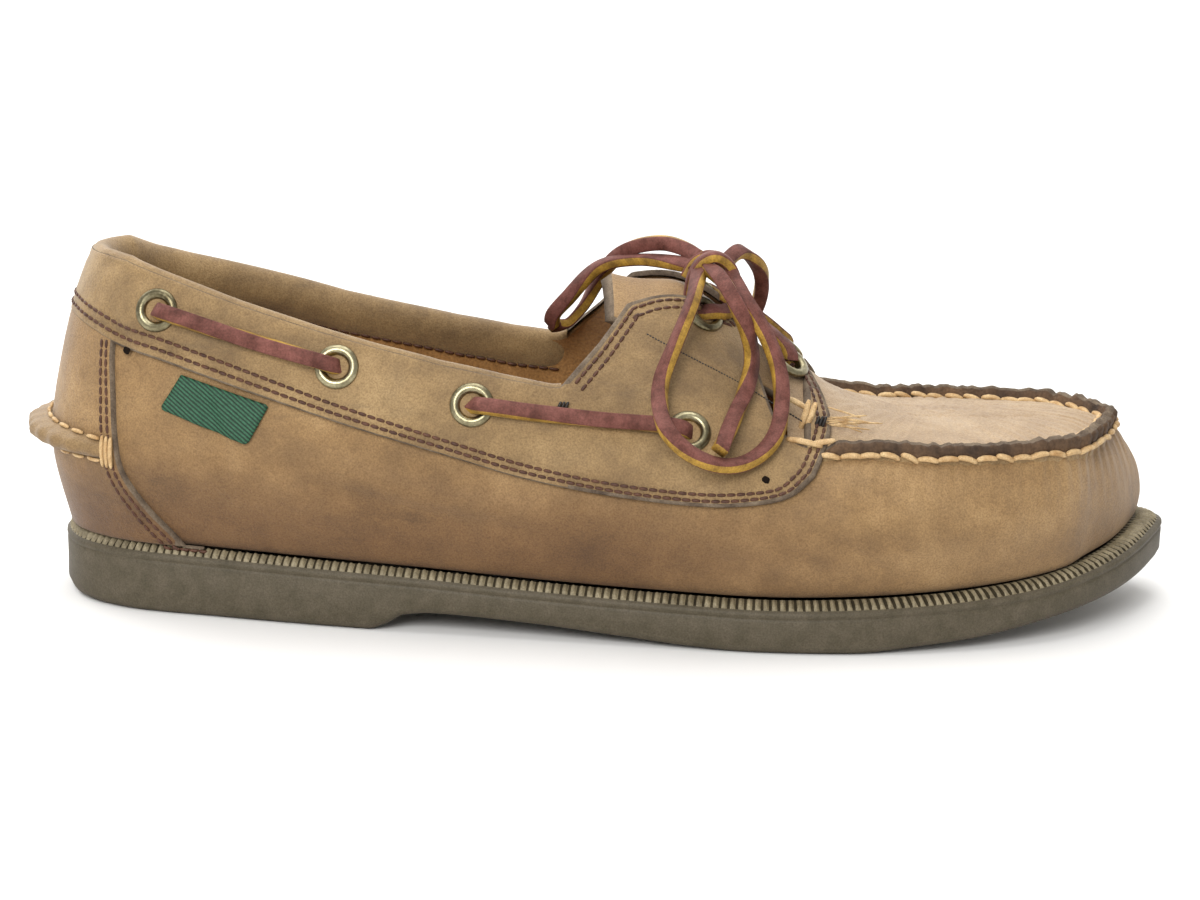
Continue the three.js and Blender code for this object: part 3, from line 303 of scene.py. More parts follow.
@dataclass
class Last:
    """The form that the shoe is built on, as a surface over running length and row.

    The running length goes along the edge of the outsole, from the middle of the heel round the outer side
    to the toe and back on the inner side. Rows go from the feather line (0) over belly (1), side (2),
    shoulder (3) and roof (4) to the crest (5).
    """

    length: float = 300.0
    ball_width: float = 100.0
    heel_height: float = 92.0
    instep_height: float = 93.0
    toe_height: float = 52.0
    heel_rim: float = 16.0
    ball_rim: float = 11.2
    toe_rim: float = 22.4
    arch_lift: float = 5.2
    toe_spring: float = 12.4
    band_rise: float = 1.8
    station_step: float = 0.25
    blend: float = 9.0
    creases: tuple[Crease, ...] = ()
    rim: tuple = field(init=False)
    crest: tuple = field(init=False)

    def __post_init__(self) -> None:
        """Prepares the edge and the control points of all sections."""
        self.rim = tuple(Smooth(RIM, k) for k in (1, 2, 3))
        self.arch = Smooth(UNDERSIDE, 1)
        self.spring = Smooth(UNDERSIDE, 2)
        self.feather = Smooth(FEATHER, 1)
        self.crest = tuple(Smooth(CREST, k) for k in (1, 2, 3, 4))
        self.shares = {
            Side.OUTER: [Smooth(LATERAL, k) for k in range(1, 9)],
            Side.INNER: [Smooth(MEDIAL, k) for k in range(1, 9)],
        }
        self._edge()
        self._sections()
        self._crease_points()

    def _edge(self) -> None:
        """Closed spline round the outsole's edge, with its running length and inward normal."""
        rows = np.array([(a * self.length, b * self.ball_width) for a, b in OUTLINE])
        count = len(rows)
        per_span = 200
        i = np.repeat(np.arange(count), per_span)
        t = np.tile(np.arange(per_span) / per_span, count)
        pick = [rows[(i + k) % count] for k in (-1, 0, 1, 2)]
        points = catmull(*pick, t)
        points = np.vstack([points, points[:1]])
        self.edge_run = np.concatenate(([0], np.cumsum(np.linalg.norm(np.diff(points, axis=0), axis=1))))
        self.edge_xy = points
        self.perimeter = float(self.edge_run[-1])
        toe = TOE_ROW * per_span
        self.toe_run = float(self.edge_run[toe])
        self.toe_index = toe

    def edge_point(self, run: Array) -> Array:
        """Points of the edge from above at running lengths."""
        run = np.mod(run, self.perimeter)
        return np.stack([np.interp(run, self.edge_run, self.edge_xy[:, k]) for k in (0, 1)], 1)

    def edge_inward(self, run: Array, reach: float = 2.0) -> Array:
        """Inward normals of the edge from above.

        Args:
            run: Running lengths in millimetres.
            reach: Distance to both sides over which the direction is taken.

        Returns:
            One normal for each running length.
        """
        run = np.asarray(run, float)
        along = unit(self.edge_point(run + reach) - self.edge_point(run - reach))
        return np.stack([-along[:, 1], along[:, 0]], 1)

    def run_at(self, x: Array, side: Side) -> Array:
        """Running length where the edge crosses x on one side.

        Args:
            x: Places along the shoe in millimetres.
            side: Side of the shoe.

        Returns:
            The running lengths in millimetres.
        """
        x = np.asarray(x, float)
        k = self.toe_index
        if side is Side.OUTER:
            return np.interp(x, self.edge_xy[:k + 1, 0], self.edge_run[:k + 1])
        return np.interp(x, self.edge_xy[k:, 0][::-1], self.edge_run[k:][::-1])

    def rim_height(self, x: Array) -> Array:
        """Height of the outsole's rim."""
        at = np.asarray(x, float) / self.length
        return self.heel_rim * self.rim[0](at) + self.ball_rim * self.rim[1](at) + self.toe_rim * self.rim[2](at)

    def seat_height(self, x: Array) -> Array:
        """Height of the seat that the upper stands on."""
        return self.rim_height(x) + self.band_rise

    def underside(self, x: Array) -> Array:
        """Height of the outsole's underside."""
        at = np.asarray(x, float) / self.length
        return self.arch_lift * self.arch(at) + self.toe_spring * self.spring(at)

    def crest_height(self, x: Array) -> Array:
        """Height of the last's crest.

        Args:
            x: Places along the shoe in millimetres.

        Returns:
            The heights in millimetres.
        """
        at = np.clip(np.asarray(x, float) / self.length, HEEL_TURN, TOE_TURN)
        return (self.heel_height * self.crest[0](at) + self.instep_height * self.crest[1](at)
                + self.toe_height * self.crest[2](at))

    def middle_line(self, x: Array) -> Array:
        """Sideways bend of the last's middle line."""
        at = np.clip(np.asarray(x, float) / self.length, HEEL_TURN, TOE_TURN)
        return self.ball_width * self.crest[3](at)

    def _sections(self) -> None:
        """Seven control points for a section at every step of the edge."""
        count = int(round(self.perimeter / self.station_step))
        run = np.arange(count) * self.perimeter / count
        xy = self.edge_point(run)
        inward = self.edge_inward(run)
        x = xy[:, 0]
        heel, toe = HEEL_TURN * self.length, TOE_TURN * self.length
        inset = self.ball_width * self.feather(x / self.length)
        turned = np.maximum(smoothstep(0, 14, heel - x), smoothstep(0, 10, x - toe))
        foot = np.zeros((count, 3))
        foot[:, 0] = x + inward[:, 0] * inset * turned
        foot[:, 1] = xy[:, 1] + inward[:, 1] * inset
        foot[:, 2] = self.seat_height(foot[:, 0]) + GAP
        crest = np.stack([np.clip(x, heel, toe), self.middle_line(x), self.crest_height(x)], 1)
        outer = run <= self.toe_run
        shares = [np.where(outer, self.shares[Side.OUTER][k](x / self.length),
                           self.shares[Side.INNER][k](x / self.length)) for k in range(8)]
        points = [foot]
        for k in range(4):
            point = foot + (crest - foot) * shares[2 * k][:, None]
            point[:, 2] = foot[:, 2] + (crest[:, 2] - foot[:, 2]) * shares[2 * k + 1]
            points.append(point)
        past = 2 * crest - points[-1]
        past[:, 2] = points[-1][:, 2]
        points += [crest, past]
        self.controls = np.stack(points, 1)
        # A short running mean takes the kinks out where the turns of heel and toe begin.
        reach = int(round(self.blend / self.station_step))
        kernel = np.hanning(2 * reach + 3)[1:-1]
        kernel /= kernel.sum()
        wrapped = np.concatenate([self.controls[-reach:], self.controls, self.controls[:reach]])
        flat = wrapped.reshape(len(wrapped), -1)
        smooth = np.stack([np.convolve(flat[:, k], kernel, "valid") for k in range(flat.shape[1])], 1)
        self.controls = smooth.reshape(self.controls.shape)

    def bare(self, run: Array, row: Array) -> Array:
        """Points of the form without creases.

        Args:
            run: Running lengths in millimetres.
            row: Rows of the sections.

        Returns:
            One point for each pair.
        """
        count = len(self.controls)
        at = np.mod(np.asarray(run, float), self.perimeter) / self.perimeter * count
        low = np.floor(at).astype(int)
        share = (at - low)[:, None, None]
        sections = self.controls[low % count] * (1 - share) + self.controls[(low + 1) % count] * share
        row = np.clip(np.asarray(row, float), 0, 5.999)
        i = np.floor(row).astype(int)
        n = np.arange(len(row))
        before = np.where((i > 0)[:, None], sections[n, np.maximum(i - 1, 0)],
                          2 * sections[:, 0] - sections[:, 1])
        after = np.where((i < 5)[:, None], sections[n, np.minimum(i + 2, 6)],
                         2 * sections[:, 6] - sections[:, 5])
        return catmull(before, sections[n, i], sections[n, i + 1], after, row - i)

    def normal(self, run: Array, row: Array) -> Array:
        """Outward normals of the form.

        Args:
            run: Running lengths in millimetres.
            row: Rows of the sections.

        Returns:
            One normal for each pair.
        """
        run, row = np.asarray(run, float), np.asarray(row, float)
        along = self.bare(run + 1.0, row) - self.bare(run - 1.0, row)
        low, high = np.clip(row - 0.04, 0, 5.9), np.clip(row + 0.04, 0.08, 5.95)
        upward = self.bare(run, high) - self.bare(run, low)
        return unit(np.cross(along, upward))

    def _crease_points(self) -> None:
        """Turns each crease's path into points on the form."""
        self.crease_paths: list[tuple[Crease, Array]] = []
        for crease in self.creases:
            path = spline([(a * self.length, z) for a, z in crease.path], 1.5)
            run = self.run_at(path[:, 0], crease.side)
            row = self.row_at_height(run, path[:, 1])
            self.crease_paths.append((crease, self.bare(run, row)))

    def puckers(self, points: Array) -> Array:
        """Short gathers that hang from the hand-sewn seam round the toe.

        Args:
            points: Points of the form.

        Returns:
            The height of the gathers at each point, in millimetres.
        """
        x, y, z = points.T
        drop = (self.crest_height(np.minimum(x, 0.86 * self.length)) - 5.0 - z) / 10.0
        reach = smoothstep(0.66, 0.70, x / self.length) * np.exp(-np.clip(drop, 0, 9) ** 1.6)
        turn = np.arctan2(y - 8, x - 235) * 38 + x * 0.55
        wave = np.sin(turn * 1.25) + 0.5 * np.sin(turn * 2.9 + 1.7) + 0.4 * np.sin(turn * 0.63 + 0.4)
        return 0.19 * wave * reach

    def relief(self, points: Array) -> Array:
        """Height of the creases at points of the form.

        Args:
            points: Points of the form.

        Returns:
            The height over the bare form at each point, in millimetres.
        """
        total = self.puckers(points)
        for crease, path in self.crease_paths:
            low, high = path.min(0) - 4 * crease.width, path.max(0) + 4 * crease.width
            near = np.all((points > low) & (points < high), axis=1)
            if not near.any():
                continue
            gap = np.linalg.norm(points[near][:, None] - path[None], axis=2)
            nearest = gap.argmin(1)
            distance = gap[np.arange(len(nearest)), nearest] / crease.width
            fade = np.sin(np.pi * (nearest + 0.5) / len(path)) ** 0.6
            shape = -np.exp(-distance ** 2) + crease.ridge * np.exp(-((distance - 1.6) ** 2) / 0.8)
            total[near] += crease.depth * fade * shape
        return total

    def at(self, run: Array, row: Array, lift: Array | float = 0.0) -> Array:
        """Points of the creased form, lifted off along the normal.

        Args:
            run: Running lengths.
            row: Rows.
            lift: Distance out from the form.

        Returns:
            One point for each pair of running length and row.
        """
        run, row = np.broadcast_arrays(np.asarray(run, float), np.asarray(row, float))
        run, row = run.ravel(), row.ravel()
        points = self.bare(run, row)
        out = np.broadcast_to(np.asarray(lift, float), run.shape) + self.relief(points)
        return points + self.normal(run, row) * out[:, None]

    def row_at_height(self, run: Array, height: Array) -> Array:
        """Row at which the sections reach a height.

        Args:
            run: Running lengths in millimetres.
            height: Wanted height at each of them.

        Returns:
            The row at each running length.
        """
        run = np.asarray(run, float)
        low, high = np.full(run.shape, 0.0), np.full(run.shape, 5.0)
        for _ in range(HALVINGS):
            middle = (low + high) / 2
            below = self.bare(run, middle)[:, 2] < height
            low, high = np.where(below, middle, low), np.where(below, high, middle)
        return low

    def row_at_half(self, run: Array, half: Array) -> Array:
        """Row above the shoulder at which the sections come that near to the middle line.

        Args:
            run: Running lengths in millimetres.
            half: Wanted distance from the middle line at each of them.

        Returns:
            The row at each running length.
        """
        run = np.asarray(run, float)
        low, high = np.full(run.shape, 2.5), np.full(run.shape, 5.0)
        for _ in range(HALVINGS):
            middle = (low + high) / 2
            point = self.bare(run, middle)
            wide = np.abs(point[:, 1] - self.middle_line(point[:, 0])) > half
            low, high = np.where(wide, middle, low), np.where(wide, high, middle)
        return low

    def side_line(self, rows: Sequence[Sequence[float]], side: Side, step: float = 1.5) -> Array:
        """A line of a side table as running lengths and rows.

        Args:
            rows: Shares of the length and of the crest.
            side: The side that the line lies on.
            step: Spacing of the result in millimetres.

        Returns:
            Pairs of running length and row, the running length of the inner side below zero.
        """
        points = [(a * self.length, up * float(self.crest_height(a * self.length))) for a, up in rows]
        path = spline(points, step) if len(points) > 2 else even(np.array(points, float), step)
        path = path[path[:, 0] > 0.2]
        run = self.run_at(path[:, 0], side)
        row = self.row_at_height(run, path[:, 1])
        return np.stack([run - (self.perimeter if side is Side.INNER else 0), row], 1)


def place(points: Array) -> Array:
    """Millimetres from the heel back as metres of the frame.

    Args:
        points: Points in millimetres from the heel back.

    Returns:
        The same points in metres.
    """
    moved = np.array(points, float)
    moved[:, 0] -= HEEL_FLAT_MIDDLE
    return moved * MM


def new_mesh(name: str, points: Array, faces: Iterable[Sequence[int]], smooth: bool = True) -> bpy.types.Object:
    """An object with a mesh, its points given in millimetres.

    Args:
        name: Name of the piece.
        points: Points in millimetres from the heel back.
        faces: Corner indices of each face.
        smooth: Whether faces are shaded smoothly.

    Returns:
        The new object, linked to the scene.
    """
    mesh = bpy.data.meshes.new(name)
    mesh.from_pydata(place(points).tolist(), [], [list(map(int, face)) for face in faces])
    mesh.validate()
    mesh.update()
    if smooth:
        mesh.polygons.foreach_set("use_smooth", [True] * len(mesh.polygons))
    made = bpy.data.objects.new(name, mesh)
    bpy.context.scene.collection.objects.link(made)
    return made


def grid_faces(columns: int, rows: int, closed: bool = False, offset: int = 0) -> list[tuple[int, ...]]:
    """Quads of a grid whose points go row by row inside each column.

    Args:
        columns: Number of columns.
        rows: Points in each column.
        closed: Whether the last column joins the first.
        offset: Index of the grid's first point.

    Returns:
        The faces, turned so that along times up points out.
    """
    faces = []
    for i in range(columns if closed else columns - 1):
        j = (i + 1) % columns
        for k in range(rows - 1):
            a, b = offset + i * rows + k, offset + j * rows + k
            faces.append((a, b, b + 1, a + 1))
    return faces


def surface_grid(name: str, columns: Sequence[Array], closed: bool = False) -> bpy.types.Object:
    """A piece from columns of points that all have the same count."""
    points = np.vstack(columns)
    return new_mesh(name, points, grid_faces(len(columns), len(columns[0]), closed))


def linear(code: str) -> tuple[float, float, float, float]:
    """An sRGB hex colour as linear red, green, blue and alpha."""
    parts = [int(code[i:i + 2], 16) / 255 for i in (1, 3, 5)]
    return (*[c / 12.92 if c <= 0.04045 else ((c + 0.055) / 1.055) ** 2.4 for c in parts], 1.0)


class Nodes:
    """The node tree of one new material, with a Principled shader at its end."""

    def __init__(self, name: str, roughness: float, specular: float = 0.5, metallic: float = 0.0) -> None:
        """Makes the material and its shader.

        Args:
            name: Name of the material.
            roughness: Roughness of the surface.
            specular: Specular level of the surface.
            metallic: 1 for a metal.
        """
        self.material = bpy.data.materials.new(name)
        self.material.use_nodes = True
        self.tree = self.material.node_tree
        self.tree.nodes.clear()
        output = self.node("ShaderNodeOutputMaterial")
        self.shader = self.node("ShaderNodeBsdfPrincipled", {
            "Roughness": roughness, "Specular IOR Level": specular, "Metallic": metallic})
        self.tree.links.new(self.shader.outputs["BSDF"], output.inputs["Surface"])
        self.coordinates = self.node("ShaderNodeTexCoord")

    def node(self, kind: str, sockets: dict | None = None, links: dict | None = None,
             stops: Sequence[tuple[float, str]] = (), **settings: object) -> bpy.types.Node:
        """Adds a node with its settings, socket values and incoming links.

        Args:
            kind: Type of the node.
            sockets: Values by socket name or index.
            links: Pairs of node and output name or index, by socket.
            stops: Positions and sRGB hex colours of a colour ramp.
            settings: Attributes of the node.

        Returns:
            The node.
        """
        made = self.tree.nodes.new(kind)
        for key, value in settings.items():
            setattr(made, key, value)
        for key, value in (sockets or {}).items():
            made.inputs[key].default_value = value
        for key, (source, output) in (links or {}).items():
            self.tree.links.new(source.outputs[output], made.inputs[key])
        for element, (at, code) in zip(made.color_ramp.elements if stops else (), stops):
            element.position, element.color = at, linear(code)
        for at, code in stops[2:]:
            made.color_ramp.elements.new(at).color = linear(code)
        return made

    def finish(self, colour: tuple[bpy.types.Node, str | int], bump: bpy.types.Node) -> bpy.types.Material:
        """Links colour and bump to the shader and returns the material.

        Args:
            colour: Node and output that carry the colour.
            bump: Node that gives the normal.

        Returns:
            The finished material.
        """
        self.tree.links.new(colour[0].outputs[colour[1]], self.shader.inputs["Base Color"])
        self.tree.links.new(bump.outputs["Normal"], self.shader.inputs["Normal"])
        return self.material


@dataclass(frozen=True)
class OiledNubuck:
    """Oiled cowhide nubuck: buffed grain with a waxy, cloudy pull-up and rubbed darker marks."""

    name: str = "oiled_nubuck_tan"
    dark: str = "#755A38"
    middle: str = "#93744A"
    light: str = "#AC8D61"
    scuff: str = "#59452E"
    nap_mm: float = 0.45
    clouds_mm: float = 34.0
    patches_mm: float = 9.0
    rub_mm: float = 17.0
    crease_mm: float = 3.2

    def build(self) -> bpy.types.Material:
        """Clouds, patches and rubbed marks over a fine buffed nap, painted shade low down towards the heel, with
        soft creases.

        Returns:
            The finished material.
        """
        n = Nodes(self.name, roughness=0.62, specular=0.32)
        noise = {}
        for key, size, detail, rough, stretch, shift in (
                ("clouds", self.clouds_mm, 3, 0.6, (0.7, 1, 1.2), 0.0),
                ("patches", self.patches_mm, 4, 0.65, (1, 1, 1), 0.31),
                ("rub", self.rub_mm, 5, 0.7, (0.4, 1, 1.6), 0.77),
                ("nap", self.nap_mm, 3, 0.65, (1, 1, 1), 0.0),
                ("crease", self.crease_mm, 3, 0.6, (1, 1, 1), 0.0)):
            turned = n.node("ShaderNodeMapping", {"Scale": stretch, "Location": (shift, shift, shift)},
                            {"Vector": (n.coordinates, "Object")})
            noise[key] = n.node("ShaderNodeTexNoise", {"Scale": 1 / (size * MM), "Detail": detail,
                                                       "Roughness": rough}, {"Vector": (turned, "Vector")})
        base = n.node("ShaderNodeValToRGB", links={"Fac": (noise["clouds"], "Fac")},
                      stops=((0.3, self.dark), (0.7, self.light), (0.5, self.middle)))
        patch = n.node("ShaderNodeValToRGB", links={"Fac": (noise["patches"], "Fac")},
                       stops=((0.36, self.dark), (0.75, self.light), (0.56, self.middle)))
        colour = n.node("ShaderNodeMix", {0: 0.42}, {6: (base, "Color"), 7: (patch, "Color")}, data_type="RGBA")
        rubbed = n.node("ShaderNodeValToRGB", links={"Fac": (noise["rub"], "Fac")},
                        stops=((0.6, "#000000"), (0.74, "#B0B0B0")))
        colour = n.node("ShaderNodeMix", {7: linear(self.scuff)}, {0: (rubbed, "Color"), 6: (colour, 2)},
                        data_type="RGBA")
        # Painted shade: a height gradient multiplies the colour darker low on the upper, strongest at the rear and
        # mostly fading out towards the toe.
        height = n.node("ShaderNodeSeparateXYZ", links={"Vector": (n.coordinates, "Object")})
        low = n.node("ShaderNodeMapRange", {"From Min": 22 * MM, "From Max": 56 * MM},
                     {"Value": (height, "Z")}, interpolation_type="SMOOTHSTEP")
        front = n.node("ShaderNodeMapRange", {"From Min": 110 * MM, "From Max": 190 * MM, "To Max": 0.85},
                       {"Value": (height, "X")})
        low = n.node("ShaderNodeMath", links={0: (low, "Result"), 1: (front, "Result")}, operation="ADD",
                     use_clamp=True)
        for source, output, stops in ((noise["nap"], "Fac", ((0.32, "#CFC7BD"), (0.62, "#FFFFFF"))),
                                      (low, "Value", ((0.0, "#BCAC9C"), (1.0, "#FFFFFF")))):
            veil = n.node("ShaderNodeValToRGB", links={"Fac": (source, output)}, stops=stops)
            colour = n.node("ShaderNodeMix", {0: 1.0}, {6: (colour, 2), 7: (veil, "Color")},
                            data_type="RGBA", blend_type="MULTIPLY")
        bump = n.node("ShaderNodeBump", {"Distance": 0.16 * MM}, {"Height": (noise["nap"], "Fac")})
        bump = n.node("ShaderNodeBump", {"Distance": 0.22 * MM},
                      {"Height": (noise["crease"], "Fac"), "Normal": (bump, "Normal")})
        n.shader.inputs["Sheen Weight"].default_value = 0.12
        n.shader.inputs["Sheen Roughness"].default_value = 0.6
        return n.finish((colour, 2), bump)


@dataclass(frozen=True)
class PlainFinish:
    """A surface with two colours of one noise, fine bump and even gloss."""

    name: str
    dark: str
    light: str
    grain_mm: float
    depth_mm: float
    roughness: float
    specular: float = 0.4
    metallic: float = 0.0
    sheen: float = 0.0
    glow: float = 0.0
    speck: str = "#C9C6C2"

    def build(self) -> bpy.types.Material:
        """Two-colour noise at ten times the grain and bump at the grain.

        Returns:
            The finished material.
        """
        n = Nodes(self.name, self.roughness, self.specular, self.metallic)
        wide, fine = (n.node("ShaderNodeTexNoise", {"Scale": 1 / (size * MM), "Detail": detail, "Roughness": 0.6},
                             {"Vector": (n.coordinates, "Object")})
                      for size, detail in ((self.grain_mm * 10, 4), (self.grain_mm, 2)))
        tone = n.node("ShaderNodeValToRGB", links={"Fac": (wide, "Fac")},
                      stops=((0.32, self.dark), (0.68, self.light)))
        speck = n.node("ShaderNodeValToRGB", links={"Fac": (fine, "Fac")},
                       stops=((0.25, self.speck), (0.65, "#FFFFFF")))
        colour = n.node("ShaderNodeMix", {0: 1.0}, {6: (tone, "Color"), 7: (speck, "Color")},
                        data_type="RGBA", blend_type="MULTIPLY")
        n.shader.inputs["Sheen Weight"].default_value = self.sheen
        n.shader.inputs["Emission Color"].default_value = (1, 1, 1, 1)
        n.shader.inputs["Emission Strength"].default_value = self.glow
        return n.finish((colour, 2), n.node("ShaderNodeBump", {"Distance": self.depth_mm * MM},
                                            {"Height": (fine, "Fac")}))


@dataclass(frozen=True)
class TwillTape:
    """Woven polyester twill: fine diagonal ribs, a little glossy along the thread."""

    name: str = "woven_twill_green"
    dark: str = "#12301F"
    light: str = "#2F6347"
    rib_mm: float = 0.9
    thread_mm: float = 0.5

    def build(self) -> bpy.types.Material:
        """Diagonal bands over X and Z with fine thread noise.

        Returns:
            The finished material.
        """
        n = Nodes(self.name, roughness=0.58, specular=0.35)
        turned = n.node("ShaderNodeMapping", {"Rotation": (0, math.radians(52), 0)},
                        {"Vector": (n.coordinates, "Object")})
        ribs = n.node("ShaderNodeTexWave", {"Scale": 2 * math.pi / 20 / (self.rib_mm * MM), "Distortion": 0.4,
                                            "Detail": 2.0, "Detail Scale": 4.0}, {"Vector": (turned, "Vector")},
                      wave_type="BANDS", bands_direction="X")
        cross = n.node("ShaderNodeTexNoise", {"Scale": 1 / (self.thread_mm * MM)},
                       {"Vector": (n.coordinates, "Object")})
        tone = n.node("ShaderNodeValToRGB", links={"Fac": (ribs, "Fac")},
                      stops=((0.2, self.dark), (0.8, self.light)))
        speck = n.node("ShaderNodeValToRGB", links={"Fac": (cross, "Fac")},
                       stops=((0.3, "#B9C4BC"), (0.7, "#FFFFFF")))
        colour = n.node("ShaderNodeMix", {0: 1.0}, {6: (tone, "Color"), 7: (speck, "Color")},
                        data_type="RGBA", blend_type="MULTIPLY")
        return n.finish((colour, 2), n.node("ShaderNodeBump", {"Distance": 0.12 * MM}, {"Height": (ribs, "Fac")}))


class Finish(Enum):
    """The finishes of the shoe, each one built once."""

    NUBUCK = OiledNubuck()
    PLUG = OiledNubuck("oiled_nubuck_pale", "#8C7253", "#A88E6C", "#BBA382", "#80694E")
    OVERLAY = OiledNubuck("oiled_nubuck_band", "#6C5536", "#93784F", "#AD9267", "#584834")
    # Raw cut edge of leather: grey-brown fibre, matt.
    EDGE = PlainFinish("raw_leather_edge", "#54473C", "#80715F", 0.5, 0.15, 0.85, 0.2)
    # Gathered raw edge of the seam: dark waxed fibre.
    SEAM = PlainFinish("waxed_raw_seam", "#33261C", "#6A513A", 0.9, 0.3, 0.75, 0.3)
    # Split suede lining: short brushed fibre without gloss.
    SUEDE = PlainFinish("split_suede_lining", "#8F6738", "#A97E4C", 0.7, 0.18, 0.92, 0.15, sheen=0.3)
    INSOLE = PlainFinish("smooth_leather_insole", "#8E6A41", "#A98355", 0.9, 0.05, 0.6, 0.35)
    # Moulded natural rubber: even olive brown with a dull skin and dust in its pores.
    RUBBER = PlainFinish("moulded_rubber_olive", "#4B4331", "#5A5140", 0.45, 0.06, 0.62, 0.4)
    # Lighter copy of the same rubber for the ribbed band, a painted highlight, and a darker copy for the gaps
    # between ribs, a painted shade.
    RIB = PlainFinish("moulded_rubber_rib_painted_highlight", "#6F644C", "#9A8E72", 0.45, 0.06, 0.6, 0.4)
    RIB_GAP = PlainFinish("moulded_rubber_gap_painted_shade", "#2E281B", "#453D2C", 0.45, 0.06, 0.8, 0.2)
    # Vegetable-tanned rawhide lace: waxy red-brown grain face and bright mustard cut edge.
    LACE = PlainFinish("rawhide_lace_grain", "#50291F", "#7F4E45", 0.5, 0.10, 0.72, 0.3)
    LACE_EDGE = PlainFinish("rawhide_lace_cut", "#75561F", "#C0973B", 0.5, 0.10, 0.6, 0.35)
    # Waxed cotton thread, three-ply: cream, or dark brown on the overlays.
    CREAM = PlainFinish("waxed_thread_cream", "#B18A59", "#DDBF8F", 0.3, 0.08, 0.6, 0.35)
    BROWN = PlainFinish("bonded_thread_brown", "#3E2418", "#5E3B28", 0.25, 0.05, 0.55, 0.35)
    BLACK = PlainFinish("bonded_thread_black", "#171310", "#2C241E", 0.25, 0.05, 0.5, 0.4)
    # Antique brass plate: yellow-grey metal with darker rubbed patina.
    BRASS = PlainFinish("antique_brass_plate", "#5F5741", "#AFA787", 0.8, 0.02, 0.34, 0.5, 1.0)
    DARK = PlainFinish("punched_hole_shadow", "#140E0A", "#20160F", 0.5, 0.02, 0.9, 0.1)
    TWILL = TwillTape()
    FLOOR = PlainFinish("matt_paper_floor", "#E7E6E4", "#E9E8E6", 40.0, 0.0, 0.9, 0.1, speck="#FFFFFF")
    # White card behind, lit from its back.
    BACKDROP = PlainFinish("backlit_white_card", "#F3F2F0", "#F5F4F2", 40.0, 0.0, 0.9, 0.1, glow=0.9,
                           speck="#FFFFFF")

    def material(self) -> bpy.types.Material:
        """The finish's material, built the first time that it is asked for."""
        return bpy.data.materials.get(self.value.name) or self.value.build()


def dress(piece: bpy.types.Object, slot: str, *finishes: Finish, replaces: Sequence[str] = ()) -> bpy.types.Object:
    """Gives a piece its finishes, its body, and the solids that it stands for.

    Args:
        piece: The piece.
        slot: Name of its slot; not used.
        *finishes: Its finishes, in the order of the face indices.
        replaces: Names of the solids that it stands for.

    Returns:
        The piece.
    """
    for finish in finishes:
        piece.data.materials.append(finish.material())
    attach(piece, "root")
    if replaces:
        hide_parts(*replaces)
    corners = np.array([v.co for v in piece.data.vertices]) if piece.type == "MESH" else np.zeros((1, 3))
    LOG.info("%s: %d points, %s to %s", piece.name, len(corners), corners.min(0).round(3), corners.max(0).round(3))
    return piece


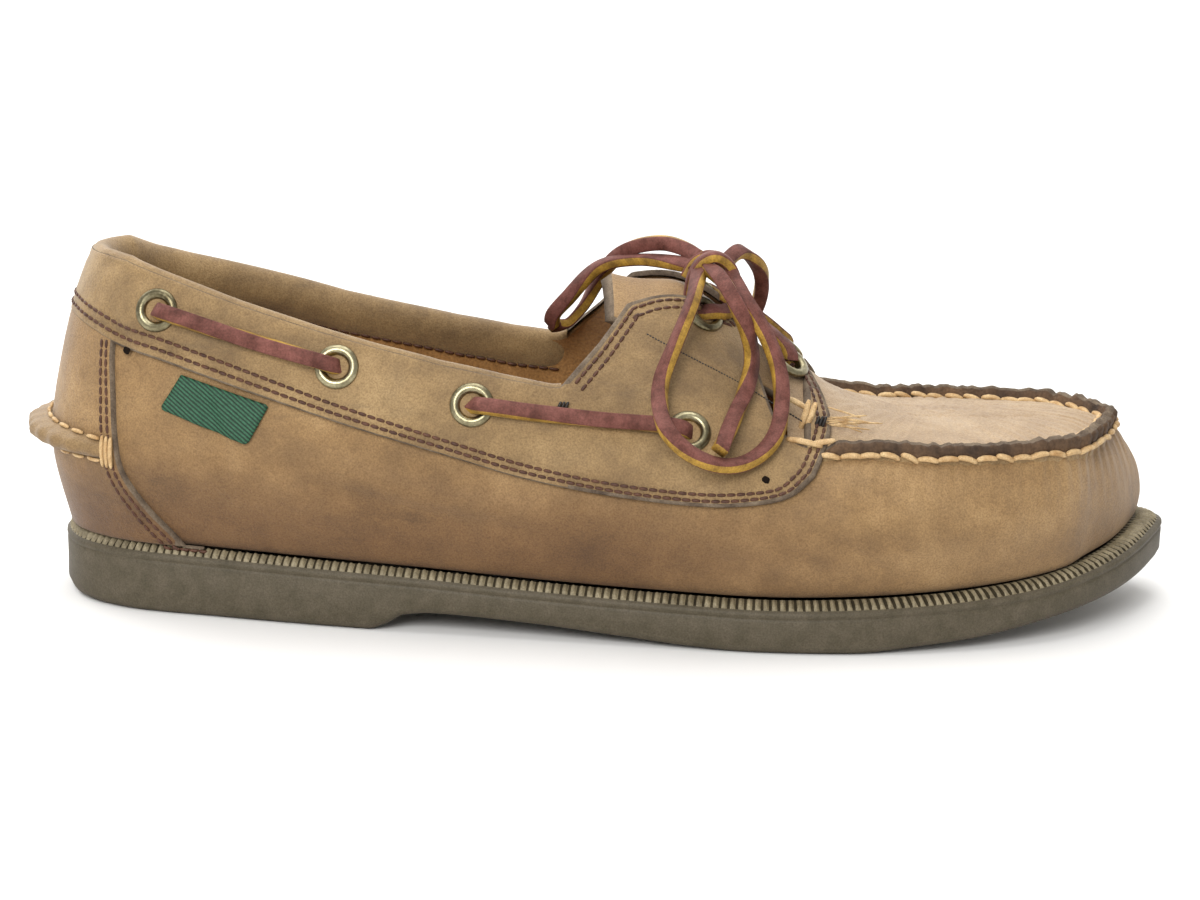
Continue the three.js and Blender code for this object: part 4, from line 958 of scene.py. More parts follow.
@dataclass
class Outsole:
    """Moulded rubber sole: wall with a bead, a ribbed band on its rim, heel block, arch and toe spring."""

    last: Last
    edge_round: float = 2.2
    bead: float = 1.4
    groove: float = 0.3
    rib_pitch: float = 2.15
    rib_height: float = 1.1
    steps_per_rib: int = 6

    def build(self) -> None:
        """Builds the wall and the ribbed band as one mesh with three finishes: the rubber, a lighter copy on the
        ribs as a painted highlight, and a darker copy between the ribs as painted shade.
        """
        last = self.last
        ribs = int(round(last.perimeter / self.rib_pitch))
        count = ribs * self.steps_per_rib
        run = np.arange(count) * last.perimeter / count
        xy, inward = last.edge_point(run), last.edge_inward(run)
        x = xy[:, 0]
        inset_feather = last.ball_width * last.feather(x / last.length)
        under, rim = last.underside(x), last.rim_height(x)
        seat = last.seat_height(x + inward[:, 0] * inset_feather)
        phase = np.arange(count) % self.steps_per_rib / self.steps_per_rib
        tooth = np.clip(1.6 * np.sin(2 * np.pi * phase), -1, 1) * 0.5 + 0.5
        pocket = np.exp(-(((under - last.arch_lift * 0.9) / 2.5) ** 2))
        rings = [
            (30 + 0 * x, under + 0.4), (np.full(count, 6.0), under), (np.full(count, self.edge_round), under),
            (np.full(count, self.edge_round * 0.3), under + self.edge_round * 0.3),
            (np.zeros(count), under + self.edge_round),
            (np.full(count, 0.05) + 0.1 * pocket, under + (rim - under) * 0.5),
            (np.zeros(count), rim - self.bead * 1.9), (np.full(count, 0.1), rim - self.bead * 1.65),
            (np.full(count, self.groove), rim - self.bead * 1.5),
            (np.full(count, self.groove), rim - self.bead * 1.3), (np.full(count, 0.1), rim - self.bead * 1.1),
            (np.full(count, -0.1), rim - self.bead * 0.75), (np.full(count, 0.0), rim - self.bead * 0.3),
            (np.full(count, 0.35), rim - 0.05),
        ]
        body_rings = len(rings)
        for share, height in ((0.14, 0.0), (0.2, 0.6), (0.3, 1.0), (0.7, 1.0), (0.85, 0.7), (1.0, 0.1), (1.15, 0.0)):
            inset = 0.35 + (inset_feather - 0.35) * share
            level = rim + (seat - rim) * min(share, 1.0)
            rings.append((inset, level + self.rib_height * height * tooth))
        columns = np.stack([
            np.stack([xy[:, 0] + inward[:, 0] * inset, xy[:, 1] + inward[:, 1] * inset, z], 1)
            for inset, z in rings], 1)
        middle = columns[:, 0, 1].copy()
        columns[:, 0, 1] = 0.3 * middle
        columns[:, 0, 0] = xy[:, 0] * 0.94 + 9
        columns[:, 0, 2] = self.last.underside(columns[:, 0, 0]) + 0.3
        points = columns.reshape(-1, 3)
        faces = grid_faces(count, len(rings), True)
        cap = len(rings)
        faces.append(tuple(i * cap for i in range(count)))
        piece = new_mesh("outsole_rubber", points, faces)
        # Band faces take the lighter copy of the rubber, a painted highlight; faces between the ribs take the darker
        # copy, a painted shade.
        index = np.tile(np.arange(len(rings) - 1) >= body_rings, count).astype(int)
        index[np.repeat(tooth < 0.42, len(rings) - 1) & (index == 1)] = 2
        piece.data.polygons.foreach_set("material_index", np.append(index, 0).astype(np.int32))
        dress(piece, "sole_rubber", Finish.RUBBER, Finish.RIB, Finish.RIB_GAP, replaces=["outsole"])


@dataclass
class Upper:
    """The moccasin upper: wrap-round vamp, plug, raised seam, lining, padded collar and insole."""

    last: Last
    step: float = 1.1
    seam_start: float = 0.668
    seam_height: float = 4.0
    seam_width: float = 3.4
    seam_step: float = 0.45
    stitch_pitch: float = 5.2
    stitch_reach: float = 1.04
    stitch_size: tuple[float, float] = (1.75, 1.6)
    plug_start: float = 0.64
    plug_crown: float = 0.5
    collar_end: float = 0.447

    def __post_init__(self) -> None:
        """Prepares the lines that the pieces share."""
        last = self.last
        self.front = {side: float(last.run_at(self.seam_start * last.length, side)) for side in Side}

    def top_rows(self, run: Array) -> Array:
        """Row of the upper's top edge: top line, rear edge of the eyestay, throat, then the shoulder seam.

        Args:
            run: Running lengths in millimetres.

        Returns:
            The row at each running length.
        """
        last = self.last
        run = np.mod(run, last.perimeter)
        x = last.edge_point(run)[:, 0]
        at = x / last.length
        outer = run <= last.toe_run
        rows = np.zeros(len(run))
        for side, table in ((True, TOPLINE_OUTER), (False, TOPLINE_INNER)):
            line = np.array(table + EYESTAY_REAR)
            share = np.interp(at, line[:, 0], line[:, 1])
            pick = outer == side
            rows[pick] = last.row_at_height(run[pick], share[pick] * last.crest_height(x[pick]))
        throat = np.array(THROAT)
        half = np.interp(at, throat[:, 0], throat[:, 1]) * last.ball_width
        slot = at > 0.5
        throat_rows = last.row_at_half(run, half)
        rows[slot] = np.minimum(rows[slot], throat_rows[slot]) if slot.any() else rows[slot]
        rows[at > 0.517] = throat_rows[at > 0.517]
        rows = rows + (3.0 - rows) * smoothstep(0.585, 0.64, at)
        return rows

    def vamp(self) -> None:
        """Outer wall from the feather line to the top edge, all the way round."""
        last = self.last
        count = int(last.perimeter / self.step)
        run = np.arange(count) * last.perimeter / count
        top = self.top_rows(run)
        shares = np.linspace(0, 1, 46)
        under_band = 0.05 * (1 - smoothstep(0.60, 0.64, last.edge_point(run)[:, 0] / last.length))
        grid_run = np.repeat(run, len(shares))
        grid_row = (shares[None] * (top - under_band)[:, None]).ravel()
        tuck = -1.2 * np.exp(-grid_row / 0.06)
        points = last.at(grid_run, grid_row, tuck)
        columns = points.reshape(count, len(shares), 3)
        piece = surface_grid("vamp_and_quarters", list(columns), True)
        dress(piece, "upper_leather", Finish.NUBUCK, replaces=["upper"])

    def lining(self) -> None:
        """Inner faces of vamp and quarters, from the insole to the collar."""
        last = self.last
        count = int(last.perimeter / (self.step * 2))
        run = np.arange(count) * last.perimeter / count
        top = self.top_rows(run)
        shares = np.linspace(0.02, 1, 30)
        x = last.edge_point(run)[:, 0]
        drop = np.where(x < 0.43 * last.length, 0.35, 0.02)
        rows = (shares[None] * (top - drop)[:, None]).ravel()
        points = last.at(np.repeat(run, len(shares)), rows, -WALL - 0.25)
        piece = surface_grid("quarter_lining", list(points.reshape(count, len(shares), 3)), True)
        dress(piece, "insole_leather", Finish.SUEDE)

    def plug(self) -> None:
        """Flat top piece of the toe, inside the seam, running back under the eyestays."""
        last = self.last
        ends = [float(last.run_at(self.plug_start * last.length, side)) for side in Side]
        stations, shares = 150, np.linspace(3.0, 5.0, 34)
        crown = np.sin(np.pi * np.clip((shares - 3) / 4, 0, 1)) * self.plug_crown
        halves = [last.at(np.repeat(np.linspace(end, last.toe_run, stations), len(shares)),
                          np.tile(shares, stations), np.tile(crown, stations)).reshape(stations, len(shares), 3)
                  for end in ends]
        crest = (halves[0][:, -1:] + halves[1][:, -1:]) / 2
        columns = np.concatenate([halves[0][:, :-1], crest, halves[1][:, -2::-1]], 1)
        piece = surface_grid("toe_plug", list(columns))
        bm = bmesh.new()
        bm.from_mesh(piece.data)
        bmesh.ops.remove_doubles(bm, verts=bm.verts, dist=0.05 * MM)
        bm.to_mesh(piece.data)
        bm.free()
        dress(piece, "upper_leather", Finish.PLUG)

    def seam_frame(self, step: float) -> tuple[Array, Array, Array, Array]:
        """Points along the shoulder of the toe with their directions along, inward and up.

        Args:
            step: Distance between two points in millimetres.

        Returns:
            The points and the three directions at each of them.
        """
        last = self.last
        run = np.arange(self.front[Side.OUTER], self.front[Side.INNER], step)
        fine = last.at(run, np.full(len(run), 3.0))
        path = even(fine, step)
        runs = np.interp(np.linspace(0, 1, len(path)),
                         np.concatenate(([0], np.cumsum(np.linalg.norm(np.diff(fine, axis=0), axis=1)))) /
                         np.linalg.norm(np.diff(fine, axis=0), axis=1).sum(), run)
        normal = last.normal(runs, np.full(len(runs), 3.0))
        up = unit(0.4 * normal + 0.6 * np.array([0, 0, 1.0]))
        along = unit(np.gradient(path, axis=0))
        inward = unit(np.cross(up, along))
        return path, along, inward, up

    def seam(self) -> None:
        """Raised, puckered ridge of the moccasin toe, with its hand-sewn stitches on both sides."""
        rng = np.random.default_rng(7)
        path, along, inward, up = self.seam_frame(self.seam_step)
        s = np.arange(len(path)) * self.seam_step
        pleat = np.abs(np.sin(np.pi * s / self.stitch_pitch))
        wild = np.convolve(rng.normal(0, 1, len(path)), np.hanning(9) / np.hanning(9).sum(), "same")
        front = smoothstep(45, 75, s) * smoothstep(45, 75, s[-1] - s)
        height = self.seam_height * (0.92 + (0.03 + 0.16 * front) * pleat + 0.09 * wild)
        ends = smoothstep(0, 5, s) * smoothstep(0, 5, s[-1] - s)
        height = height * (0.25 + 0.75 * ends)
        wide = self.seam_width * (0.9 + (0.04 + 0.2 * front) * pleat + 0.05 * wild)
        profile = ((-0.72, -0.7), (-0.56, 0.12), (-0.5, 0.5), (-0.42, 0.86), (-0.22, 1.0), (0.02, 0.94),
                   (0.28, 1.0), (0.44, 0.84), (0.5, 0.5), (0.58, 0.1), (0.74, -0.7))
        wave = 0.12 * np.sin(s * 0.9) + 0.14 * wild
        columns = np.stack([path + inward * (a * wide + wave * max(b, 0))[:, None] + up * (b * height)[:, None]
                            for a, b in profile], 1)
        piece = surface_grid("moccasin_seam", list(columns[:, ::-1]))
        faces = np.tile(np.array([0, 1, 1, 2, 2, 2, 1, 1, 1, 0]), len(path) - 1)
        piece.data.polygons.foreach_set("material_index", faces.astype(np.int32))
        dress(piece, "upper_leather", Finish.OVERLAY, Finish.SEAM, Finish.EDGE)
        threads = Threads("seam_stitches", Finish.CREAM)
        for k in range(int(s[-1] / self.stitch_pitch)):
            i = min(int((k + 0.5) * self.stitch_pitch / self.seam_step), len(path) - 2)
            for sign in (-1, 1):
                offset = inward[i] * sign * (wide[i] * 0.5 + 0.55) + up[i] * (0.75 if sign < 0 else 0.95)
                way = unit(along[i] + up[i] * 0.12 * sign + inward[i] * 0.06 * rng.normal())
                threads.add(path[i] + offset, way, up[i], self.stitch_pitch * self.stitch_reach, *self.stitch_size)
        threads.build("upper_leather")

    def collar(self) -> None:
        """Padded roll that folds over the top line, down to its stitched edge inside."""
        last = self.last
        low, high = (float(last.run_at(self.collar_end * last.length, side)) for side in Side)
        run = np.concatenate([np.arange(high - last.perimeter, 0, 1.2), np.arange(0, low, 1.2)])
        top = self.top_rows(run)
        ends = np.clip(np.minimum(low - run, run - (high - last.perimeter)) / 6, 0.0, 1)
        x = last.edge_point(run)[:, 0]
        puff = 0.72 + 0.5 * smoothstep(130, 20, x)
        profile = ((-2.2, 1.55), (-1.2, 1.75), (-0.2, 1.75), (0.7, 1.3), (1.25, 0.4), (1.4, -0.7), (1.1, -1.9),
                   (0.3, -3.0), (-1.2, -3.9), (-3.2, -4.5), (-5.4, -4.7), (-7.6, -4.4), (-9.6, -3.7),
                   (-11.0, -2.9), (-11.8, -2.45))
        one_mm = 1 / np.maximum(np.linalg.norm(last.bare(run, top) - last.bare(run, top - 0.1), axis=1) * 10, 1)
        columns = []
        for a, b in profile:
            rise = a * (puff if a > 0 else 1)
            out = np.where(b < -0.7, -0.7 + (b + 0.7) * puff * (0.55 + 0.45 * ends), b)
            columns.append(last.at(run, top + rise * one_mm, out))
        points = np.stack(columns, 1)
        piece = surface_grid("collar_roll", list(points))
        dress(piece, "overlay_leather", Finish.OVERLAY)
        line = np.stack([run, top - 10.9 * one_mm], 1)
        stitch_row(last, "collar_inner_stitches", [line[2:-2]], Finish.BROWN, 3.0, -2.75, inside=True)

    def insole(self) -> None:
        """Leather sock over the insole, slightly dished towards the heel."""
        last = self.last
        count = 240
        run = np.arange(count) * last.perimeter / count
        xy, inward = last.edge_point(run), last.edge_inward(run)
        base = last.ball_width * last.feather(xy[:, 0] / last.length) + WALL + 0.9
        seat = last.seat_height(xy[:, 0]) + GAP + 3.0
        columns = []
        for share in (0.0, 0.02, 0.06, 0.12, 0.22, 0.38, 0.6, 0.85, 1.0):
            spine = np.stack([np.clip(xy[:, 0], 28, 272), 0.3 * np.interp(xy[:, 0], (0, 300), (0, 12))], 1)
            edge = xy + inward * base[:, None]
            at = edge + (spine - edge) * share
            lift = 1.6 * (1 - share) ** 4 * (1 if share > 0 else 0.4) - 0.5 * share
            columns.append(np.column_stack([at, seat + lift + (-0.6 if share == 0 else 0)]))
        piece = surface_grid("insole_sock", list(np.stack(columns, 1)), True)
        dress(piece, "insole_leather", Finish.INSOLE, replaces=["insole"])


@dataclass
class Tongue:
    """Nubuck tongue under the laces, its raw rear edge standing up behind the eyestays."""

    last: Last
    thickness: float = 2.2
    under: float = 3.2
    rear_ahead: float = 0.0135
    corner_width: float = 0.88
    corner_reach: float = 6.0
    sink: float = 2.2
    sink_range: tuple[float, float] = (148.0, 170.0)
    slant: float = 2.2
    slant_reach: float = 9.0

    def build(self) -> None:
        """Builds the tongue as a closed sheet over its plan."""
        last = self.last
        plan = np.array(TONGUE_PLAN)
        xs = np.linspace(plan[0, 0] + self.rear_ahead, plan[-1, 0], 60) * last.length
        rear = xs[0]
        across = np.linspace(-1, 1, 33)
        sheets = []
        for lift in (-self.under, -self.under - self.thickness):
            rows = []
            for x in xs:
                half = float(np.interp(x / last.length, plan[:, 0], plan[:, 1])) * last.ball_width
                corner = float(smoothstep(rear, rear + self.corner_reach, x))
                half *= self.corner_width + (1 - self.corner_width) * corner
                halves = np.abs(across) * half
                points = np.zeros((len(across), 3))
                for side in Side:
                    pick = (across < 0) if side is Side.OUTER else (across >= 0)
                    run = np.full(int(pick.sum()), float(last.run_at(x, side)))
                    row = last.row_at_half(run, halves[pick])
                    rise = -self.sink * float(1 - smoothstep(*self.sink_range, x))
                    points[pick] = last.bare(run, row) + last.normal(run, row) * (lift + rise)
                    if lift < -self.under:
                        points[pick, 0] -= self.slant * float(1 - smoothstep(rear, rear + self.slant_reach, x))
                rows.append(points)
            sheets.append(np.stack(rows))
        upper, lower = sheets
        count, wide = upper.shape[:2]
        points = np.vstack([upper.reshape(-1, 3), lower.reshape(-1, 3)])
        faces, edge_faces = [], []
        size = count * wide
        for i in range(count - 1):
            for j in range(wide - 1):
                a = i * wide + j
                faces.append((a, a + wide, a + wide + 1, a + 1))
                faces.append((size + a, size + a + 1, size + a + wide + 1, size + a + wide))
        loop = ([j for j in range(wide)] + [i * wide + wide - 1 for i in range(1, count)]
                + [(count - 1) * wide + j for j in range(wide - 2, -1, -1)]
                + [i * wide for i in range(count - 2, 0, -1)])
        for a, b in zip(loop, loop[1:] + loop[:1]):
            edge_faces.append((a, b, size + b, size + a))
        piece = new_mesh("tongue_leather", points, faces + edge_faces)
        index = np.array([0] * len(faces) + [1] * len(edge_faces), np.int32)
        piece.data.polygons.foreach_set("material_index", index)
        dress(piece, "tongue_leather", Finish.NUBUCK, Finish.EDGE, replaces=["tongue"])


class Threads:
    """Many small stitches gathered into one mesh."""

    RINGS = ((-0.5, 0.5), (-0.4, 0.85), (-0.14, 1.0), (0.14, 1.0), (0.4, 0.85), (0.5, 0.5))
    AROUND = 7

    def __init__(self, name: str, finish: Finish) -> None:
        """Starts an empty row of stitches.

        Args:
            name: Name of the piece.
            finish: The thread's finish.
        """
        self.name, self.finish = name, finish
        self.points: list[Array] = []
        self.faces: list[tuple[int, ...]] = []
        self.count = 0

    def add(self, middle: Array, along: Array, up: Array, length: float, width: float, height: float) -> None:
        """Adds one stitch.

        Args:
            middle: Its middle point.
            along: Direction of the thread.
            up: Direction away from the leather.
            length, width, height: Its sizes in millimetres.
        """
        along = along / np.linalg.norm(along)
        across = np.cross(up, along)
        across /= np.linalg.norm(across)
        up = np.cross(along, across)
        angle = np.arange(self.AROUND) / self.AROUND * 2 * np.pi
        ring = np.outer(np.cos(angle), across) * width / 2 + np.outer(np.sin(angle), up) * height / 2
        start = self.count
        for at, size in self.RINGS:
            sag = -abs(at) ** 2 * height * 1.1
            self.points.append(middle + along * at * length + up * sag + ring * size)
        n = self.AROUND
        for k in range(len(self.RINGS) - 1):
            for i in range(n):
                j = (i + 1) % n
                self.faces.append((start + k * n + i, start + (k + 1) * n + i,
                                   start + (k + 1) * n + j, start + k * n + j)[::-1])
        self.faces.append(tuple(start + i for i in range(n))[::-1])
        self.faces.append(tuple(start + (len(self.RINGS) - 1) * n + i for i in range(n)))
        self.count += n * len(self.RINGS)

    def build(self, slot: str) -> bpy.types.Object:
        """Makes the piece from all stitches."""
        return dress(new_mesh(self.name, np.vstack(self.points), self.faces), slot, self.finish)


def stitch_row(last: Last, name: str, lines: Sequence[Array], finish: Finish, pitch: float, lift: float,
               slot: str = "overlay_leather", width: float = 0.9, inside: bool = False) -> None:
    """Rows of stitches along lines on the form.

    Args:
        last: The form.
        name: Name of the piece.
        lines: Lines as running lengths and rows.
        finish: The thread's finish.
        pitch: Length of a stitch and its gap in millimetres.
        lift: Height of the leather over the form.
        slot: The material slot.
        width: Width of the thread.
        inside: Whether the stitches lie on the inner face.
    """
    threads = Threads(name, finish)
    for line in lines:
        world = last.at(line[:, 0], line[:, 1], lift)
        run = np.concatenate(([0], np.cumsum(np.linalg.norm(np.diff(world, axis=0), axis=1))))
        middles = np.arange(pitch / 2, run[-1], pitch)
        u, v = (np.interp(middles, run, line[:, k]) for k in (0, 1))
        points = last.at(u, v, lift)
        normals = last.normal(u, v) * (-1 if inside else 1)
        along = unit(np.gradient(np.stack([np.interp(middles, run, world[:, k]) for k in range(3)], 1), axis=0))
        for p, n, a in zip(points, normals, along):
            threads.add(p + n * width * 0.2, a, n, pitch * 0.9, width, width * 0.8)
    threads.build(slot)


ROW_MM = 18.0


def resample(outline: Array, step: float) -> Array:
    """Closed outline in running length and scaled row, cut into even steps."""
    return even(np.vstack([outline, outline[:1]]), step)[:-1]


def edge_distance(points: Array, outline: Array) -> Array:
    """Distance from points to a closed outline.

    Args:
        points: Points in running length and scaled row.
        outline: Corners of the outline in the same measure.

    Returns:
        The shortest distance of each point.
    """
    a, b = outline, np.roll(outline, -1, axis=0)
    best = np.full(len(points), 1e9)
    for start in range(0, len(points), 2000):
        p = points[start:start + 2000, None]
        d = b - a
        t = np.clip(np.sum((p - a) * d, 2) / np.maximum(np.sum(d * d, 1), 1e-12), 0, 1)
        gap = np.linalg.norm(p - (a + t[..., None] * d), axis=2)
        best[start:start + 2000] = gap.min(1)
    return best


def inside_outline(points: Array, outline: Array) -> Array:
    """Which points lie inside a closed outline.

    Args:
        points: Points in running length and scaled row.
        outline: Corners of the outline in the same measure.

    Returns:
        True for each point that lies inside.
    """
    x, y = points[:, 0], points[:, 1]
    inside = np.zeros(len(points), bool)
    for (x1, y1), (x2, y2) in zip(outline, np.roll(outline, -1, axis=0)):
        if y1 == y2:
            continue
        crosses = (y1 > y) != (y2 > y)
        inside ^= crosses & (x < (x2 - x1) * (y - y1) / (y2 - y1) + x1)
    return inside


def panel(last: Last, name: str, outline: Array, lift: float, thickness: float, spacing: float = 2.0,
          dips: Sequence[float] = (), strip_from: float = 1e9) -> bpy.types.Object:
    """A leather piece cut to an outline on the form, with a rounded raw edge.

    Args:
        last: The form.
        name: Name of the piece.
        outline: Corners as running length and row.
        lift: Height of its underside over the form.
        thickness: Thickness of the leather.
        spacing: Spacing of the inner points.
        dips: Distances from the edge of the stitched grooves.
        strip_from: World x in millimetres from which a wide raw edge shows on the face.

    Returns:
        The piece; its faces carry index 0 for the grain and 1 for the raw edge.
    """
    flat = outline * np.array([1.0, ROW_MM])
    border = resample(flat, 1.1)
    low, high = border.min(0), border.max(0)
    gx, gy = np.meshgrid(np.arange(low[0], high[0], spacing), np.arange(low[1], high[1], spacing))
    gx = gx + (np.arange(gx.shape[0]) % 2)[:, None] * spacing / 2
    inner = np.stack([gx.ravel(), gy.ravel()], 1)
    inner = inner[inside_outline(inner, border)]
    inner = inner[edge_distance(inner, border) > max(1.1, spacing * 0.55)]
    tangent = unit(np.roll(border, -1, 0) - np.roll(border, 1, 0))
    area = 0.5 * np.sum(border[:, 0] * np.roll(border[:, 1], -1) - np.roll(border[:, 0], -1) * border[:, 1])
    inward = np.stack([-tangent[:, 1], tangent[:, 0]], 1) * (1 if area > 0 else -1)
    ring = border + inward * 0.45
    ring = ring[(edge_distance(ring, border) > 0.36) & inside_outline(ring, border)]
    inset = border + inward * 1.25
    inset = inset[(edge_distance(inset, border) > 1.15) & inside_outline(inset, border)]
    inner = inner[edge_distance(inner, border) > 1.9]
    points = np.vstack([border, ring, inset, inner])
    edges = [(i, (i + 1) % len(border)) for i in range(len(border))]
    made = delaunay_2d_cdt([Vector(p) for p in points], edges, [], 1, 1e-5)
    verts = np.array([tuple(v) for v in made[0]])
    faces = [tuple(f) for f in made[2]]
    away = edge_distance(verts, border)
    crown = thickness * (1 - 0.32 * np.exp(-(away / 0.22) ** 2))
    for dip in dips:
        crown = crown - 0.28 * np.exp(-((away - dip) / 0.55) ** 2)
    top = last.at(verts[:, 0], verts[:, 1] / ROW_MM, lift + crown)
    flip = np.dot(np.cross(top[faces[0][1]] - top[faces[0][0]], top[faces[0][2]] - top[faces[0][0]]),
                  last.normal(verts[:1, 0], verts[:1, 1] / ROW_MM)[0]) < 0
    if flip:
        faces = [f[::-1] for f in faces]
    seen: dict[tuple[int, int], int] = {}
    for f in faces:
        for a, b in zip(f, f[1:] + f[:1]):
            seen[(a, b)] = 1
    rim = [(a, b) for a, b in seen if (b, a) not in seen]
    used = sorted({a for edge in rim for a in edge})
    bottom = last.at(verts[used, 0], verts[used, 1] / ROW_MM, lift)
    lower = {v: len(top) + i for i, v in enumerate(used)}
    sides = [(b, a, lower[a], lower[b]) for a, b in rim]
    piece = new_mesh(name, np.vstack([top, bottom]), faces + sides)
    reach = np.where(top[:, 0] > strip_from, 1.4, 0.55)
    kinds = [int(all(away[v] < reach[v] for v in f)) for f in faces] + [1] * len(sides)
    piece.data.polygons.foreach_set("material_index", np.array(kinds, np.int32))
    return piece


def inset_line(line: Array, distance: float) -> Array:
    """A line moved sideways on the form; positive is to the left of its way.

    Args:
        line: Points as running length and row.
        distance: Distance in millimetres.

    Returns:
        The moved line in the same measure.
    """
    flat = line * np.array([1.0, ROW_MM])
    along = unit(np.gradient(flat, axis=0))
    moved = flat + np.stack([-along[:, 1], along[:, 0]], 1) * distance
    return moved / np.array([1.0, ROW_MM])


# World x in millimetres from which the eyestay shows its wide raw edge.
STRIP_START = 136.0
# Bar tacks: share of the length, height and length of the threads in millimetres.
BAR_TACKS = ((0.4475, 59.8, 4.2), (0.6665, 54.0, 4.6))
# Cream wraps at the seam's rear end: share of the length, height, way of the thread, its length.
WRAPS = (
    (0.652, 55.6, (0.25, 0, 1.0), 9.0), (0.657, 55.2, (0.35, 0, 1.0), 8.6), (0.652, 50.9, (1.0, 0, -0.2), 9.5),
    (0.664, 50.4, (1.0, 0, 0.25), 9.0), (0.645, 58.6, (1.0, 0, -0.5), 7.0),
)
# Frayed tail of the seam's thread: share of the length, height and lift, then its number of fibres.
FRAYED_TAIL = (0.692, 53.2, 3.4)
TAIL_FIBRES = 12
# Cut line across the eyestay: share of the length and height.
EYESTAY_LINE = ((0.517, 76.5), (0.545, 72.5), (0.575, 67.8), (0.607, 62.5), (0.635, 57.8), (0.652, 55.0))
# Punched holes: share of the length, height, thickness of the leather round them.
PUNCHED_HOLES = ((0.0745, 70.0, COUNTER), (0.6185, 43.5, OVERLAY))


